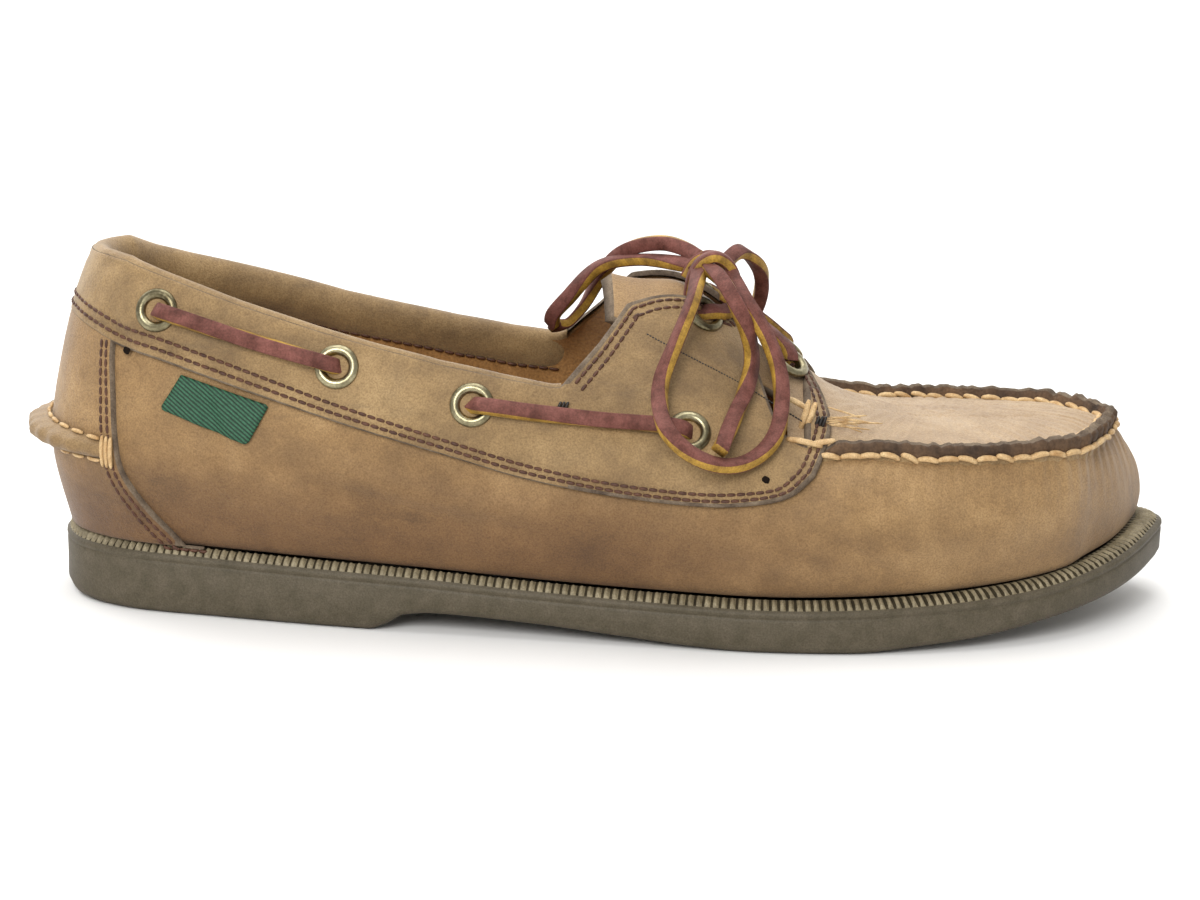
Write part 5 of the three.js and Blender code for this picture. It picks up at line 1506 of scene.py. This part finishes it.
@dataclass
class Overlays:
    """Collar band with its eyestay on each side, heel counter, heel lip and label tab."""

    last: Last
    upper: Upper
    joint: float = 0.197

    def lower_line(self, side: Side) -> Array:
        """Lower edge of the band from the heel forwards."""
        return self.last.side_line(BAND_LOWER[1:], side)

    def front_line(self, side: Side) -> Array:
        """Front edge of the eyestay up to the throat."""
        rows = [BAND_LOWER[-1], *EYESTAY_FRONT, (0.657, 0.998)]
        return self.last.side_line(rows, side)

    def top_line(self, side: Side, end: float) -> Array:
        """Top edge from the heel along the top line and the throat.

        Args:
            side: Side of the shoe.
            end: Place along the shoe where the edge ends, in millimetres.

        Returns:
            Running lengths and rows of the edge.
        """
        last = self.last
        x = np.concatenate([np.arange(1.5, 131, 1.5), np.arange(131, 165, 0.6), np.arange(165, end, 1.2)])
        run = last.run_at(x, side)
        row = self.upper.top_rows(run)
        return np.stack([run - (last.perimeter if side is Side.INNER else 0), row + 0.002], 1)

    def bands(self) -> None:
        """Both halves of the band, joined round the heel at the inner side."""
        last = self.last
        for side, name in ((Side.OUTER, "lateral"), (Side.INNER, "medial")):
            low, front = self.lower_line(side), self.front_line(side)
            top = self.top_line(side, 0.655 * last.length)
            joint = float(last.run_at(self.joint * last.length, Side.INNER)) - last.perimeter
            if side is Side.OUTER:
                back_low, back_top = self.lower_line(Side.INNER), self.top_line(Side.INNER, 0.3 * last.length)
                back_low, back_top = back_low[back_low[:, 0] > joint], back_top[back_top[:, 0] > joint]
                outline = np.vstack([back_low[::-1], low, front[1:], top[::-1], back_top])
                free = np.vstack([back_low[::-1], low, front[1:-2]])
            else:
                low, top = low[low[:, 0] < joint - 0.3], top[top[:, 0] < joint - 0.3]
                outline = np.vstack([low, front[1:], top[::-1]])
                free = np.vstack([low, front[1:-2]])
            piece = panel(last, f"collar_band_{name}", outline, 0.1, GAP + OVERLAY - 0.1, dips=(2.1,),
                          strip_from=STRIP_START)
            dress(piece, "overlay_leather", Finish.OVERLAY, Finish.EDGE,
                  replaces=[f"quarter_overlay_{name}"])
            sign = 1 if side is Side.OUTER else -1
            rows = [inset_line(free, sign * d) for d in (1.9, 3.9)]
            back = top[(top[:, 0] * (1 if side is Side.OUTER else -1) > 0)]
            x = last.edge_point(back[:, 0])[:, 0]
            stay = back[(x > 0.452 * last.length) & (x < 0.60 * last.length)]
            rows += [inset_line(stay, -sign * d) for d in (2.2, 4.4)]
            stitch_row(last, f"band_stitches_{name}", rows, Finish.BROWN, 2.45, GAP + OVERLAY - 0.12)

    def counter(self) -> None:
        """Heel counter below the band, with its double stitched front edges."""
        last = self.last
        fronts = {side: last.side_line(COUNTER_FRONT, side, 1.0) for side in Side}
        bands = {side: self.lower_line(side) for side in Side}
        parts = []
        for side in (Side.INNER, Side.OUTER):
            front, band = fronts[side], bands[side]
            limit = front[0, 0]
            band = band[band[:, 0] < limit] if side is Side.OUTER else band[band[:, 0] > limit]
            front = front[front[:, 1] < np.interp(limit, *(band[np.argsort(band[:, 0])].T)) + 0.02]
            parts.append((band + np.array([0, 0.06]), front))
        (inner_band, inner_front), (outer_band, outer_front) = parts
        feet = np.linspace(outer_front[-1, 0], inner_front[-1, 0], 60)[1:-1]
        bottom = np.stack([feet, np.full(len(feet), 0.02)], 1)
        outline = np.vstack([inner_band[::-1], outer_band, outer_front, [(outer_front[-1, 0], 0.02)], bottom,
                             [(inner_front[-1, 0], 0.02)], inner_front[::-1]])
        piece = panel(last, "heel_counter_leather", outline, 0.05, GAP + COUNTER - 0.05, dips=(2.1,))
        dress(piece, "upper_leather", Finish.NUBUCK, Finish.EDGE, replaces=["heel_counter"])
        rows = []
        for side, front in ((Side.OUTER, outer_front), (Side.INNER, inner_front)):
            for distance in (1.7, 3.6):
                rows.append(inset_line(front, (-distance) if side is Side.OUTER else distance))
        stitch_row(last, "counter_stitches", rows, Finish.BROWN, 2.45, GAP + COUNTER - 0.15, "upper_leather")

    def lip(self) -> None:
        """Rolled lip round the back of the heel, hand-stitched above and below."""
        last = self.last
        run = np.linspace(-35, 35, 180)
        share = np.abs(run) / 35
        reach = 5.6 * (1 - share ** 3.2) + 0.5
        level = 0.4083 * float(last.crest_height(0)) + 1.2 * (1 - share) ** 1.5 * 0 - 1.6 * share ** 2
        row = last.row_at_height(run, level)
        middle, normal = last.at(run, row, GAP + COUNTER), last.normal(run, row)
        up = np.array([0, 0, 1.0])
        half = 2.7 * (1 - 0.35 * share ** 4)
        profile = ((-0.4, 1.25), (0.1, 1.15), (0.45, 0.95), (0.8, 0.75), (0.97, 0.4), (1.0, 0.0), (0.97, -0.4),
                   (0.8, -0.75), (0.45, -0.95), (0.1, -1.15), (-0.4, -1.25))
        wave = 1 + 0.05 * np.sin(run * 1.3) + 0.04 * np.sin(run * 0.57 + 1)
        columns = np.stack([middle + normal * (a * reach * wave)[:, None] + up * (b * half)[:, None]
                            for a, b in profile], 1)
        piece = surface_grid("heel_lip_leather", list(columns[:, ::-1]))
        dress(piece, "overlay_leather", Finish.OVERLAY, replaces=["heel_lip"])
        threads = Threads("heel_lip_stitches", Finish.CREAM)
        for k in np.linspace(-30, 30, 13):
            i = int(np.interp(k, run, np.arange(len(run))))
            along = unit(run[0] * 0 + (middle[min(i + 1, 179)] - middle[max(i - 1, 0)]))
            for sign in (-1, 1):
                spot = middle[i] + normal[i] * 0.7 + up * sign * (half[i] * 1.15 + 0.5)
                threads.add(spot, along, normal[i] * 0.8 + up * sign * 0.5, 4.2, 1.15, 1.1)
        for end, sign in ((1, 1), (178, -1)):
            for step in (-0.8, 0.5, 1.8):
                along = unit(middle[min(end + 1, 179)] - middle[max(end - 1, 0)])
                threads.add(middle[end] + along * step * sign + normal[end] * 1.1, up, normal[end], 8.2, 1.2, 1.3)
        threads.build("overlay_leather")

    def label(self) -> None:
        """Plain woven tab that comes out from under the band's edge."""
        last = self.last
        corners = [(a * last.length, up * float(last.crest_height(a * last.length))) for a, up in LABEL_CORNERS]
        path = even(np.array(corners + corners[:1]), 1.0)[:-1]
        run = last.run_at(path[:, 0], Side.OUTER)
        outline = np.stack([run, last.row_at_height(run, path[:, 1])], 1)
        piece = panel(last, "side_label", outline, 0.35, 0.75, 1.2)
        dress(piece, "label_fabric", Finish.TWILL, Finish.TWILL, replaces=["label_tab"])

    def spot(self, side: Side, at: float, height: float, lift: float) -> tuple[Array, Array]:
        """A place on one side of the shoe.

        Args:
            side: Side of the shoe.
            at: Share of the length.
            height: Height in millimetres.
            lift: Height over the form in millimetres.

        Returns:
            The point and the normal there.
        """
        run = self.last.run_at([at * self.last.length], side)
        row = self.last.row_at_height(run, np.array([height]))
        return self.last.at(run, row, lift)[0], self.last.normal(run, row)[0]

    def tacks(self) -> None:
        """Bar tacks, the seam's cream wraps with a frayed tail, and the line across each eyestay."""
        last, rng, top = self.last, np.random.default_rng(3), GAP + OVERLAY
        black = Threads("bar_tacks", Finish.BLACK)
        for side in Side:
            for at, height, length in BAR_TACKS:
                point, normal = self.spot(side, at, height, top + 0.1)
                for step in (-0.9, 0.0, 0.9):
                    black.add(point + np.array([step, 0, 0]), np.array([0.35, 0, 1.0]), normal, length, 0.95, 0.9)
        cream = Threads("eyestay_wraps", Finish.CREAM)
        for at, height, lean, length in WRAPS:
            point, normal = self.spot(Side.OUTER, at, height, top + 0.7)
            cream.add(point, np.array(lean), normal, length, 1.7, 1.5)
        point, normal = self.spot(Side.OUTER, *FRAYED_TAIL)
        for _ in range(TAIL_FIBRES):
            way = np.array([1.0, 0, rng.normal(0, 0.14)]) + normal * rng.normal(0, 0.08)
            offset = np.array([rng.normal(0, 1.6), 0, rng.normal(0, 0.7)])
            middle = point + offset + normal * rng.normal(0.2, 0.35)
            cream.add(middle, way, normal, 9.5 + rng.normal(0, 1.5), 0.5, 0.5)
        cream.build("overlay_leather")
        black.build("overlay_leather")
        for side, name in ((Side.OUTER, "lateral"), (Side.INNER, "medial")):
            path = even(np.array(EYESTAY_LINE) * np.array([last.length, 1.0]), 1.5)
            run = last.run_at(path[:, 0], side)
            line = np.stack([run, last.row_at_height(run, path[:, 1])], 1)
            stitch_row(last, f"eyestay_line_{name}", [line], Finish.BLACK, 0.8, top - 0.16, width=0.5)

    def holes(self) -> None:
        """Small punched holes: under the band at the heel and at the front of the band."""
        threads = Threads("punched_holes", Finish.DARK)
        for side in Side:
            for at, height, leather in PUNCHED_HOLES:
                point, normal = self.spot(side, at, height, GAP + leather - 0.25)
                threads.add(point, np.array([0.5, 0, 1.0]), normal, 3.0, 2.2, 0.8)
        threads.build("overlay_leather")


@dataclass
class Eyelets:
    """Antique brass eyelets with a rolled flange, through band and quarters."""

    last: Last
    flange: float = 11.3
    bore: float = 6.0
    around: int = 48

    def spot(self, key: str, side: Side, lift: float = GAP + OVERLAY) -> tuple[Array, Array]:
        """Middle and normal of one eyelet on the leather.

        Args:
            key: Name of the eyelet in its table.
            side: Side of the shoe.
            lift: Height over the form in millimetres.

        Returns:
            The middle and the normal.
        """
        at, up = next((a, b) for name, a, b in EYELETS if name == key)
        x = at * self.last.length
        run = self.last.run_at([x], side)
        row = self.last.row_at_height(run, np.array([up * float(self.last.crest_height(x))]))
        normal = self.last.normal(run, row)[0]
        return self.last.bare(run, row)[0] + normal * lift, normal

    def build(self) -> None:
        """All twelve eyelets as one mesh with their dark bores."""
        big, small = self.flange / 2, self.bore / 2
        profile = [(big - 0.1, -0.35), (big, 0.15), (big - 0.12, 0.5), (big - 0.55, 0.85), (big - 1.1, 1.05),
                   (big - 1.6, 1.08), (small + 0.6, 0.85), (small + 0.2, 0.5), (small, 0.0), (small, -4.4),
                   (small - 2.9, -4.4)]
        rings, faces, start = [], [], 0
        angle = np.arange(self.around) / self.around * 2 * np.pi
        index: list[int] = []
        for side in Side:
            for key, *_ in EYELETS:
                middle, normal = self.spot(key, side)
                a = unit(np.cross(normal, [0.3, 0.1, 1.0]))
                b = np.cross(normal, a)
                for radius, height in profile:
                    rings.append(middle + normal * height + radius * (np.outer(np.cos(angle), a)
                                                                      + np.outer(np.sin(angle), b)))
                for k in range(len(profile) - 1):
                    for i in range(self.around):
                        j = (i + 1) % self.around
                        p, q = start + k * self.around, start + (k + 1) * self.around
                        faces.append((p + i, p + j, q + j, q + i))
                        index.append(1 if k >= len(profile) - 2 else 0)
                start += len(profile) * self.around
        piece = new_mesh("brass_eyelets", np.vstack(rings), faces)
        piece.data.polygons.foreach_set("material_index", np.array(index, np.int32))
        names = [f"eyelet_{s}_{key}" for s in ("lateral", "medial") for key, *_ in EYELETS]
        dress(piece, "eyelet_brass", Finish.BRASS, Finish.DARK, replaces=names)


# Bow: cord points as shares of length, ball width and instep height.
NEAR_LOOP = (
    (0.563, -0.108, 0.982), (0.555, -0.3, 0.9249), (0.542, -0.352, 0.826), (0.531, -0.392, 0.736),
    (0.53, -0.47, 0.6727), (0.537, -0.545, 0.6272), (0.555, -0.56, 0.5767), (0.581, -0.52, 0.5352),
    (0.602, -0.478, 0.5322), (0.619, -0.441, 0.5599), (0.63, -0.398, 0.6054), (0.634, -0.332, 0.6737),
    (0.632, -0.285, 0.7419), (0.624, -0.26, 0.8112), (0.612, -0.25, 0.8804), (0.602, -0.215, 0.9249),
    (0.589, -0.083, 0.982),
)
NEAR_END = (
    (0.571, -0.11, 0.992), (0.581, -0.2, 0.9794), (0.593, -0.27, 0.9249), (0.604, -0.265, 0.8468),
    (0.609, -0.25, 0.7667), (0.605, -0.304, 0.7073), (0.594, -0.391, 0.643), (0.58, -0.51, 0.5738),
)
FAR_LOOP = (
    (0.562, -0.035, 0.985), (0.512, 0.1, 0.9744), (0.476, 0.16, 0.9398), (0.447, 0.19, 0.8369),
    (0.434, 0.205, 0.782), (0.435, 0.232, 0.748), (0.447, 0.258, 0.748), (0.461, 0.25, 0.8), (0.481, 0.21, 0.9249),
    (0.503, 0.14, 0.9991), (0.532, 0.08, 1.0287), (0.553, 0.02, 1.0207), (0.564, -0.02, 1.005),
)
FAR_END = (
    (0.584, -0.015, 0.9843), (0.602, 0.085, 1.009), (0.622, 0.17, 0.9398), (0.623, 0.25, 0.826),
    (0.606, 0.34, 0.7024), (0.589, 0.415, 0.6183),
)


# Strands of the knot: points round its middle in millimetres, and the point that their faces turn away from.
KNOT_WRAPS = (
    (((-4.6, -3.4, -8.5), (-4.3, -4.2, -4.5), (-3.6, -4.6, -1.2), (-1.4, -4.6, 2.4), (2.0, -4.4, 3.8),
      (5.6, -4.0, 1.9), (7.4, -3.4, -1.8), (6.6, -2.2, -5.2)), (1.0, -4, -4.5)),
    (((-5.5, 2.6, -3.0), (-3.0, 2.8, 1.2), (0.5, 2.2, 3.0), (4.2, 1.4, 1.6), (6.0, 1.0, -2.2)), (0.3, 2, -4.5)),
    (((-3.4, -1.0, -2.8), (-1.0, -1.6, -0.8), (2.2, -1.6, -0.6), (5.0, -1.8, -2.6)), (1.0, -1.5, -7.0)),
)


@dataclass
class Laces:
    """Flat rawhide laces: bars along the collar, the crossing over the tongue, and the bow."""

    last: Last
    eyelets: Eyelets
    width: float = 3.9
    thick: float = 2.7
    cord: float = 3.6

    def ribbon(self, points: Array, faces_up: Array, width: float | None = None) -> tuple[Array, list, list]:
        """Points, faces and finish indices of a flat lace along a path.

        Args:
            points: Even points of the path.
            faces_up: Direction of the grain face at each point.
            width: Width of the lace.

        Returns:
            Points, faces, and 0 for the grain or 1 for the cut edge of each face.
        """
        w, t = (width or self.width) / 2, self.thick / 2
        along = unit(np.gradient(points, axis=0))
        across = unit(np.cross(faces_up, along))
        up = np.cross(along, across)
        profile = ((-w, -t * 0.72), (-w * 0.86, -t), (0, -t * 1.04), (w * 0.86, -t), (w, -t * 0.72),
                   (w, t * 0.72), (w * 0.86, t), (0, t * 1.04), (-w * 0.86, t), (-w, t * 0.72))
        kinds = (0, 0, 0, 0, 1, 0, 0, 0, 0, 1)
        n, count = len(profile), len(points)
        ring = np.stack([points + across * a + up * b for a, b in profile], 1).reshape(-1, 3)
        faces, index = [], []
        for i in range(count - 1):
            for k in range(n):
                m = (k + 1) % n
                faces.append((i * n + k, (i + 1) * n + k, (i + 1) * n + m, i * n + m)[::-1])
                index.append(kinds[k])
        faces += [tuple(range(n))[::-1], tuple((count - 1) * n + k for k in range(n))]
        return ring, faces, index + [1, 1]

    def strand(self, name: str, points: Array, up: Array, solids: Sequence[str]) -> bpy.types.Object:
        """One lace as its own piece that stands for its solids.

        Args:
            name: Name of the piece.
            points: Even points of its path.
            up: Directions that the face turns to.
            solids: Names of the solids that it stands for.

        Returns:
            The piece.
        """
        ring, faces, index = self.ribbon(points, up)
        piece = new_mesh(name, ring, faces)
        piece.data.polygons.foreach_set("material_index", np.array(index, np.int32))
        return dress(piece, "lace_rawhide", Finish.LACE, Finish.LACE_EDGE, replaces=solids)

    def bars(self) -> None:
        """The laces that run outside the collar band from eyelet to eyelet."""
        last = self.last
        for side, name in ((Side.OUTER, "lateral"), (Side.INNER, "medial")):
            for first, second, key in (("collar_rear", "collar_middle", "rear"), ("collar_front", "side", "front")):
                rows = {n: (a, b) for n, a, b in EYELETS}
                ends = [(rows[k][0] * last.length, rows[k][1] * float(last.crest_height(rows[k][0] * last.length)))
                        for k in (first, second)]
                length = math.hypot(ends[1][0] - ends[0][0], ends[1][1] - ends[0][1])
                stops = ((-0.6, -3.2), (0.2, -0.6), (1.6, 1.7), (4.2, 2.7), (8.0, 2.6), (14.0, 1.9))
                along = [a for a, _ in stops] + [length / 2] + [length - a for a, _ in reversed(stops)]
                lift = [b for _, b in stops] + [1.7] + [b for _, b in reversed(stops)]
                share = np.array(along) / length
                x = ends[0][0] + (ends[1][0] - ends[0][0]) * share
                z = ends[0][1] + (ends[1][1] - ends[0][1]) * share
                run = last.run_at(x, side)
                row = last.row_at_height(run, z)
                out = GAP + OVERLAY + np.array(lift)
                path = spline(last.bare(run, row) + last.normal(run, row) * out[:, None], 1.0)
                up = np.repeat(last.normal(run[6:7], row[6:7]), len(path), 0)
                tilt = np.sin(np.linspace(0, 2.4 * np.pi, len(path)))[:, None] * 0.25
                up = unit(up + tilt * np.array([0, 0, 1.0]))
                self.strand(f"lace_{key}_{name}", path, up, [f"lace_bar_{name}_{key}"])

    def crossing(self) -> None:
        """Two laces that cross over the tongue between the throat eyelets."""
        parts = []
        for side, high in ((Side.OUTER, 0.6), (Side.INNER, 2.9)):
            other = Side.INNER if side is Side.OUTER else Side.OUTER
            a, an = self.eyelets.spot("throat_front", side)
            b, bn = self.eyelets.spot("throat_rear", other)
            way = unit(b - a)
            points = [a - an * 2.6, a + an * 0.6 + way * 0.4, a + an * 2.0 + way * 2.6, a + an * 2.6 + way * 5,
                      a + (b - a) * 0.5 + np.array([0, 0, 3.0 + high]),
                      b + bn * 2.6 - way * 5, b + bn * 2.0 - way * 2.6, b + bn * 0.6 - way * 0.4, b - bn * 2.6]
            path = spline(points, 1.0)
            share = np.linspace(0, 1, len(path))[:, None]
            up = unit(an * (1 - share) + bn * share + np.array([0, 0, 0.6]))
            parts.append(self.ribbon(path, up))
        ring, faces, index = parts[0]
        more, more_faces, more_index = parts[1]
        start = len(ring)
        piece = new_mesh("lace_crossing", np.vstack([ring, more]),
                         faces + [tuple(i + start for i in f) for f in more_faces])
        piece.data.polygons.foreach_set("material_index", np.array(index + more_index, np.int32))
        dress(piece, "lace_rawhide", Finish.LACE, Finish.LACE_EDGE, replaces=["lace_cross"])

    def scaled(self, rows: Sequence[Sequence[float]]) -> Array:
        """Rows of a bow table in millimetres."""
        return np.array([(a * self.last.length, b * self.last.ball_width, c * self.last.instep_height)
                         for a, b, c in rows])

    def bow(self) -> None:
        """Loops and ends of the bow as flat cords, and the knot that holds them."""
        knot = self.scaled([(0.57, -0.05, 0.9823)])[0]
        turns = {
            "lace_loop_near": (NEAR_LOOP, (-0.2, -0.9, 0.35), 0.9, "object"),
            "lace_end_near": (NEAR_END, (0.3, -0.9, 0.35), 0.6, "bare"),
            "lace_loop_far": (FAR_LOOP, (-0.5, -0.6, 0.6), 0.8, "object"),
            "lace_end_far": (FAR_END, (0.4, 0.6, 0.7), 0.5, "bare"),
        }
        for name, (rows, face, twist, far_end) in turns.items():
            path = spline(self.scaled(rows), 0.9)
            share = np.linspace(0, 1, len(path))
            along = unit(np.gradient(path, axis=0))
            base = np.array(face) / np.linalg.norm(face)
            up = unit(base - along * np.sum(along * base, 1)[:, None])
            side = np.cross(along, up)
            angle = twist * np.sin(2 * np.pi * share * 1.5)
            up = up * np.cos(angle)[:, None] + side * np.sin(angle)[:, None]
            piece = self.strand(f"rawhide_{name[5:]}", path, up, [name])
            centre = place(path)
        points, faces, index, start = [], [], [], 0
        for rows, middle in KNOT_WRAPS:
            path = spline(np.array(rows), 0.7)
            ring, ring_faces, ring_index = self.ribbon(path + knot, unit(path - np.array(middle)))
            points.append(ring)
            faces += [tuple(i + start for i in f) for f in ring_faces]
            index += ring_index
            start += len(ring)
        piece = new_mesh("bow_knot", np.vstack(points), faces)
        piece.data.polygons.foreach_set("material_index", np.array(index, np.int32))
        dress(piece, "lace_rawhide", Finish.LACE, Finish.LACE_EDGE, replaces=["lace_knot"])


# Lamps: name, place and aim in metres, size in metres, power in watts.
LAMPS = (
    ("key_light", (-0.2, -1.0, 0.72), (0.1, 0, 0.05), 0.6, 11.0),
    ("top_light", (0.05, 0.1, 1.0), (0.1, 0, 0.03), 0.9, 6.5),
    ("rear_light", (-0.55, 0.5, 0.6), (0.0, 0, 0.06), 0.5, 3.0),
)


@dataclass(frozen=True)
class Studio:
    """Camera at the photograph's angle, pale floor and soft light."""

    distance: float = 650.0
    elevation: float = 14.0
    roll: float = 1.5
    target: tuple[float, float, float] = (145.0, 0.0, 40.0)
    pixels_per_mm: float = 3.695
    target_pixel: float = 603.0
    frame_width: float = 1200.0
    sensor: float = 36.0
    surroundings: float = 0.62
    floor_reach: float = 3000.0
    wall_y: float = 1300.0
    wall_height: float = 2500.0

    def camera(self) -> None:
        """Makes the camera the scene's own."""
        elevation, roll = math.radians(self.elevation), math.radians(self.roll)
        back = Vector((0, -math.cos(elevation), math.sin(elevation)))
        right = (-back).cross(Vector((0, 0, 1))).normalized()
        up = right.cross(-back)
        turned_right = math.cos(roll) * right + math.sin(roll) * up
        turned_up = -math.sin(roll) * right + math.cos(roll) * up
        data = bpy.data.cameras.new("photo_camera")
        data.sensor_width = self.sensor
        data.lens = self.pixels_per_mm * self.distance / self.frame_width * self.sensor
        data.shift_x = -(self.target_pixel - self.frame_width / 2) / self.frame_width
        data.clip_start = 0.01
        camera = bpy.data.objects.new("photo_camera", data)
        bpy.context.scene.collection.objects.link(camera)
        target = Vector(place(np.array([self.target]))[0])
        spot = target + back * self.distance * MM
        matrix = Matrix((turned_right, turned_up, back)).transposed().to_4x4()
        camera.matrix_world = Matrix.Translation(spot) @ matrix
        bpy.context.scene.camera = camera

    def light(self) -> None:
        """Large soft lamps above and in front, white surroundings and the floor."""
        world = bpy.data.worlds.new("studio_world")
        world.use_nodes = True
        background = world.node_tree.nodes["Background"]
        background.inputs["Color"].default_value = (1, 1, 1, 1)
        background.inputs["Strength"].default_value = self.surroundings
        bpy.context.scene.world = world
        for name, spot, aim, size, power in LAMPS:
            data = bpy.data.lights.new(name, "AREA")
            data.shape = "DISK"
            data.size = size
            data.energy = power
            lamp = bpy.data.objects.new(name, data)
            bpy.context.scene.collection.objects.link(lamp)
            lamp.location = spot
            lamp.rotation_euler = (Vector(aim) - Vector(spot)).to_track_quat("-Z", "Y").to_euler()
        reach, wall_y, height = self.floor_reach, self.wall_y, self.wall_height
        floor_corners = np.array([(-reach, -reach, 0), (reach, -reach, 0), (reach, wall_y, 0), (-reach, wall_y, 0)])
        floor = new_mesh("paper_floor", floor_corners, [(0, 1, 2, 3)], False)
        floor.data.materials.append(Finish.FLOOR.material())
        wall_corners = np.array([(-reach, wall_y, 0), (reach, wall_y, 0), (reach, wall_y, height),
                                 (-reach, wall_y, height)])
        wall = new_mesh("white_backdrop", wall_corners, [(0, 1, 2, 3)], False)
        wall.data.materials.append(Finish.BACKDROP.material())


# Creases: path as shares of the length and heights in millimetres, then depth, width and share of the ridge.
# They lie where such a shoe folds; their places are not measured on the photo.
FOLDS = (
    # Flex of the vamp behind the toe, low over the outsole.
    (((0.70, 40), (0.715, 33), (0.735, 27), (0.76, 22)), 0.88, 2.6, 0.6),
    (((0.665, 34), (0.685, 29), (0.71, 24), (0.735, 20)), 0.8, 2.4, 0.6),
    (((0.62, 31), (0.64, 27), (0.67, 22)), 0.64, 2.4, 0.5),
    (((0.75, 44), (0.765, 38), (0.78, 33)), 0.56, 2.2, 0.5),
    # Sagging quarter below the band and round the waist.
    (((0.24, 52), (0.30, 46), (0.37, 41), (0.45, 38)), 0.8, 3.4, 0.5),
    (((0.20, 42), (0.27, 36), (0.35, 31), (0.43, 29)), 0.72, 3.2, 0.5),
    (((0.42, 46), (0.48, 41), (0.545, 37)), 0.64, 2.8, 0.5),
    (((0.14, 60), (0.155, 50), (0.16, 40)), 0.72, 2.4, 0.5),
    # Collar pressed in behind the ankle.
    (((0.055, 78), (0.075, 70), (0.085, 60)), 0.64, 2.6, 0.4),
)
# How far the inner side's creases are moved: share of the length and millimetres up.
INNER_SHIFT = (0.008, 1.5)


def side_creases() -> tuple[Crease, ...]:
    """The main creases of the worn leather on both sides.

    Returns:
        The creases, those of the outer side first.
    """
    moved = {Side.OUTER: (0.0, 0.0), Side.INNER: INNER_SHIFT}
    return tuple(Crease(side, tuple((at + moved[side][0], z + moved[side][1]) for at, z in path), *sizes)
                 for side in Side for path, *sizes in FOLDS)


def main() -> None:
    """Builds camera, laces, then the shoe from the sole up."""
    logging.basicConfig(level=logging.INFO, format="%(message)s")
    bpy.context.scene.view_settings.view_transform = "Standard"
    studio = Studio()
    studio.camera()
    last = Last(creases=side_creases())
    eyelets = Eyelets(last)
    laces = Laces(last, eyelets)
    laces.bow()
    laces.bars()
    laces.crossing()
    eyelets.build()
    Outsole(last).build()
    upper = Upper(last)
    upper.vamp()
    upper.plug()
    upper.seam()
    upper.lining()
    upper.collar()
    upper.insole()
    Tongue(last).build()
    overlays = Overlays(last, upper)
    overlays.bands()
    overlays.counter()
    overlays.lip()
    overlays.label()
    overlays.holes()
    overlays.tacks()
    studio.light()


if __name__ == "__main__":
    main()
